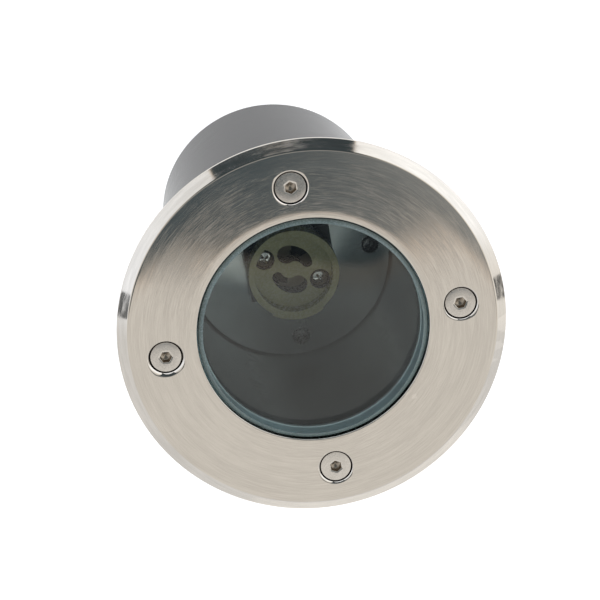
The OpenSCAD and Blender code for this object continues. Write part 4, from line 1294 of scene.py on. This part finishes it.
def set_tent(scene, look):
    """Light tent painted by direction: bright all round and brighter on the right, with a few dark gaps
    and a dark card overhead, which has a warm edge and a paler middle. Camera rays see plain white."""
    world = bpy.data.worlds.new("light_tent")
    world.use_nodes = True
    scene.world = world
    n = Nodes(world.node_tree)
    direction = x, y, z = n.split(n.add("ShaderNodeTexCoord").outputs["Generated"])
    side = n.mix(n.ramp(y, -0.25, 0.1), (1.0, 1.02, 1.05), [look.walls * c for c in (1.0, 1.06, 1.16)])
    tent = n.mix(n.ramp(z, 0.4, 0.7), side, [look.bright * c for c in (1.0, 0.985, 0.955)])
    sunny = n.times(n.times(n.ramp(x, 0.2, 0.5), n.ramp(z, 0.9, 0.8)), n.ramp(y, -0.6, -0.4))
    tent = n.vector("MULTIPLY", tent, n.mix(sunny, (1, 1, 1), (1.2, 1.18, 1.14)))
    # How far a direction lies inside the card, from the nearest of its four borders
    front = n.plus(n.plus(y, n.times(x, CARD_LEAN)), n.ramp(x, 0.08, 0.12, *CARD_FRONT))
    left = n.plus(x, n.minus(CARD_LEFT, n.times(y, CARD_TAPER)))
    inside = n.math("MINIMUM", n.math("MINIMUM", front, n.minus(CARD_BACK, y)),
                    n.math("MINIMUM", left, n.minus(CARD_RIGHT, x)))
    overhead = n.ramp(z, 0.0, 0.1)
    fringe = n.times(n.ramp(inside, -0.013, -0.002), overhead)
    tone = n.mix(fringe, tent, [look.bright * c for c in look.fringe])
    deep = n.mix(n.ramp(y, 0.2, 0.5), look.card, toned(look.card, 0.65))
    pale = n.times(n.ramp(y, -0.12, 0.0), n.ramp(y, 0.34, 0.22))
    lit = n.times(n.ramp(x, 0.04, 0.17), n.ramp(y, 0.3, 0.0))
    card = n.mix(lit, n.mix(pale, deep, look.pale), look.card_right)
    tone = n.mix(n.times(n.ramp(inside, -0.003, 0.003), overhead), tone, card)
    for start, end, width, shade in GAPS:
        tone = n.mix(gap(n, direction, Vector(start), Vector(end), width), tone, shade)
    tone = n.mix(n.add("ShaderNodeLightPath").outputs["Is Camera Ray"], tone, (1, 1, 1))
    n.dress(world.node_tree.nodes["Background"], Color=tone, Strength=1.0)


def gap(n, direction, start, end, width):
    """Mask of a short dark strip in the tent, from one direction to the other."""
    centre = (start + end) / 2
    ahead, along = (start + end).normalized(), (end - start).normalized()
    across = along.cross(ahead)

    def dot(axis):
        parts = [n.times(part, value) for part, value in zip(direction, axis)]
        return n.plus(n.plus(parts[0], parts[1]), parts[2])

    offset, place = (n.math("ABSOLUTE", n.minus(dot(axis), axis.dot(centre))) for axis in (across, along))
    reach = (end - start).length / 2
    inside = n.times(n.ramp(offset, width, width / 2), n.ramp(place, reach * 1.2, reach))
    return n.times(inside, n.ramp(dot(ahead), 0.5, 0.6))


OPERATORS = (
    GROUNDLIGHT_OT_stage, GROUNDLIGHT_OT_ring, GROUNDLIGHT_OT_cover_screws, GROUNDLIGHT_OT_glass,
    GROUNDLIGHT_OT_housing, GROUNDLIGHT_OT_plate, GROUNDLIGHT_OT_lampholder, GROUNDLIGHT_OT_wiring,
    GROUNDLIGHT_OT_gland)


class GROUNDLIGHT_PT_panel(bpy.types.Panel):
    """Buttons that make each group of pieces, over their sizes and colours"""
    bl_idname = "GROUNDLIGHT_PT_panel"
    bl_label = "Ground light"
    bl_space_type = "VIEW_3D"
    bl_region_type = "UI"
    bl_category = "Ground light"

    def draw(self, context):
        for operator in OPERATORS:
            self.layout.operator(operator.bl_idname)
        for name, group in LOOKS.items():
            box = self.layout.box()
            box.label(text=name.replace("_", " "))
            for setting in group.__annotations__:
                box.prop(getattr(context.scene, name), setting)


CLASSES = (*LOOKS.values(), *OPERATORS, GROUNDLIGHT_PT_panel)


def register():
    for kind in CLASSES:
        bpy.utils.register_class(kind)
    for name, group in LOOKS.items():
        setattr(bpy.types.Scene, name, PointerProperty(type=group))


def unregister():
    for name in LOOKS:
        delattr(bpy.types.Scene, name)
    for kind in reversed(CLASSES):
        bpy.utils.unregister_class(kind)


def main():
    """Makes every piece and the stage."""
    register()
    make_groups()
    for operator in OPERATORS:
        group, name = operator.bl_idname.split(".")
        getattr(getattr(bpy.ops, group), name)()


if __name__ == "__main__":
    main()
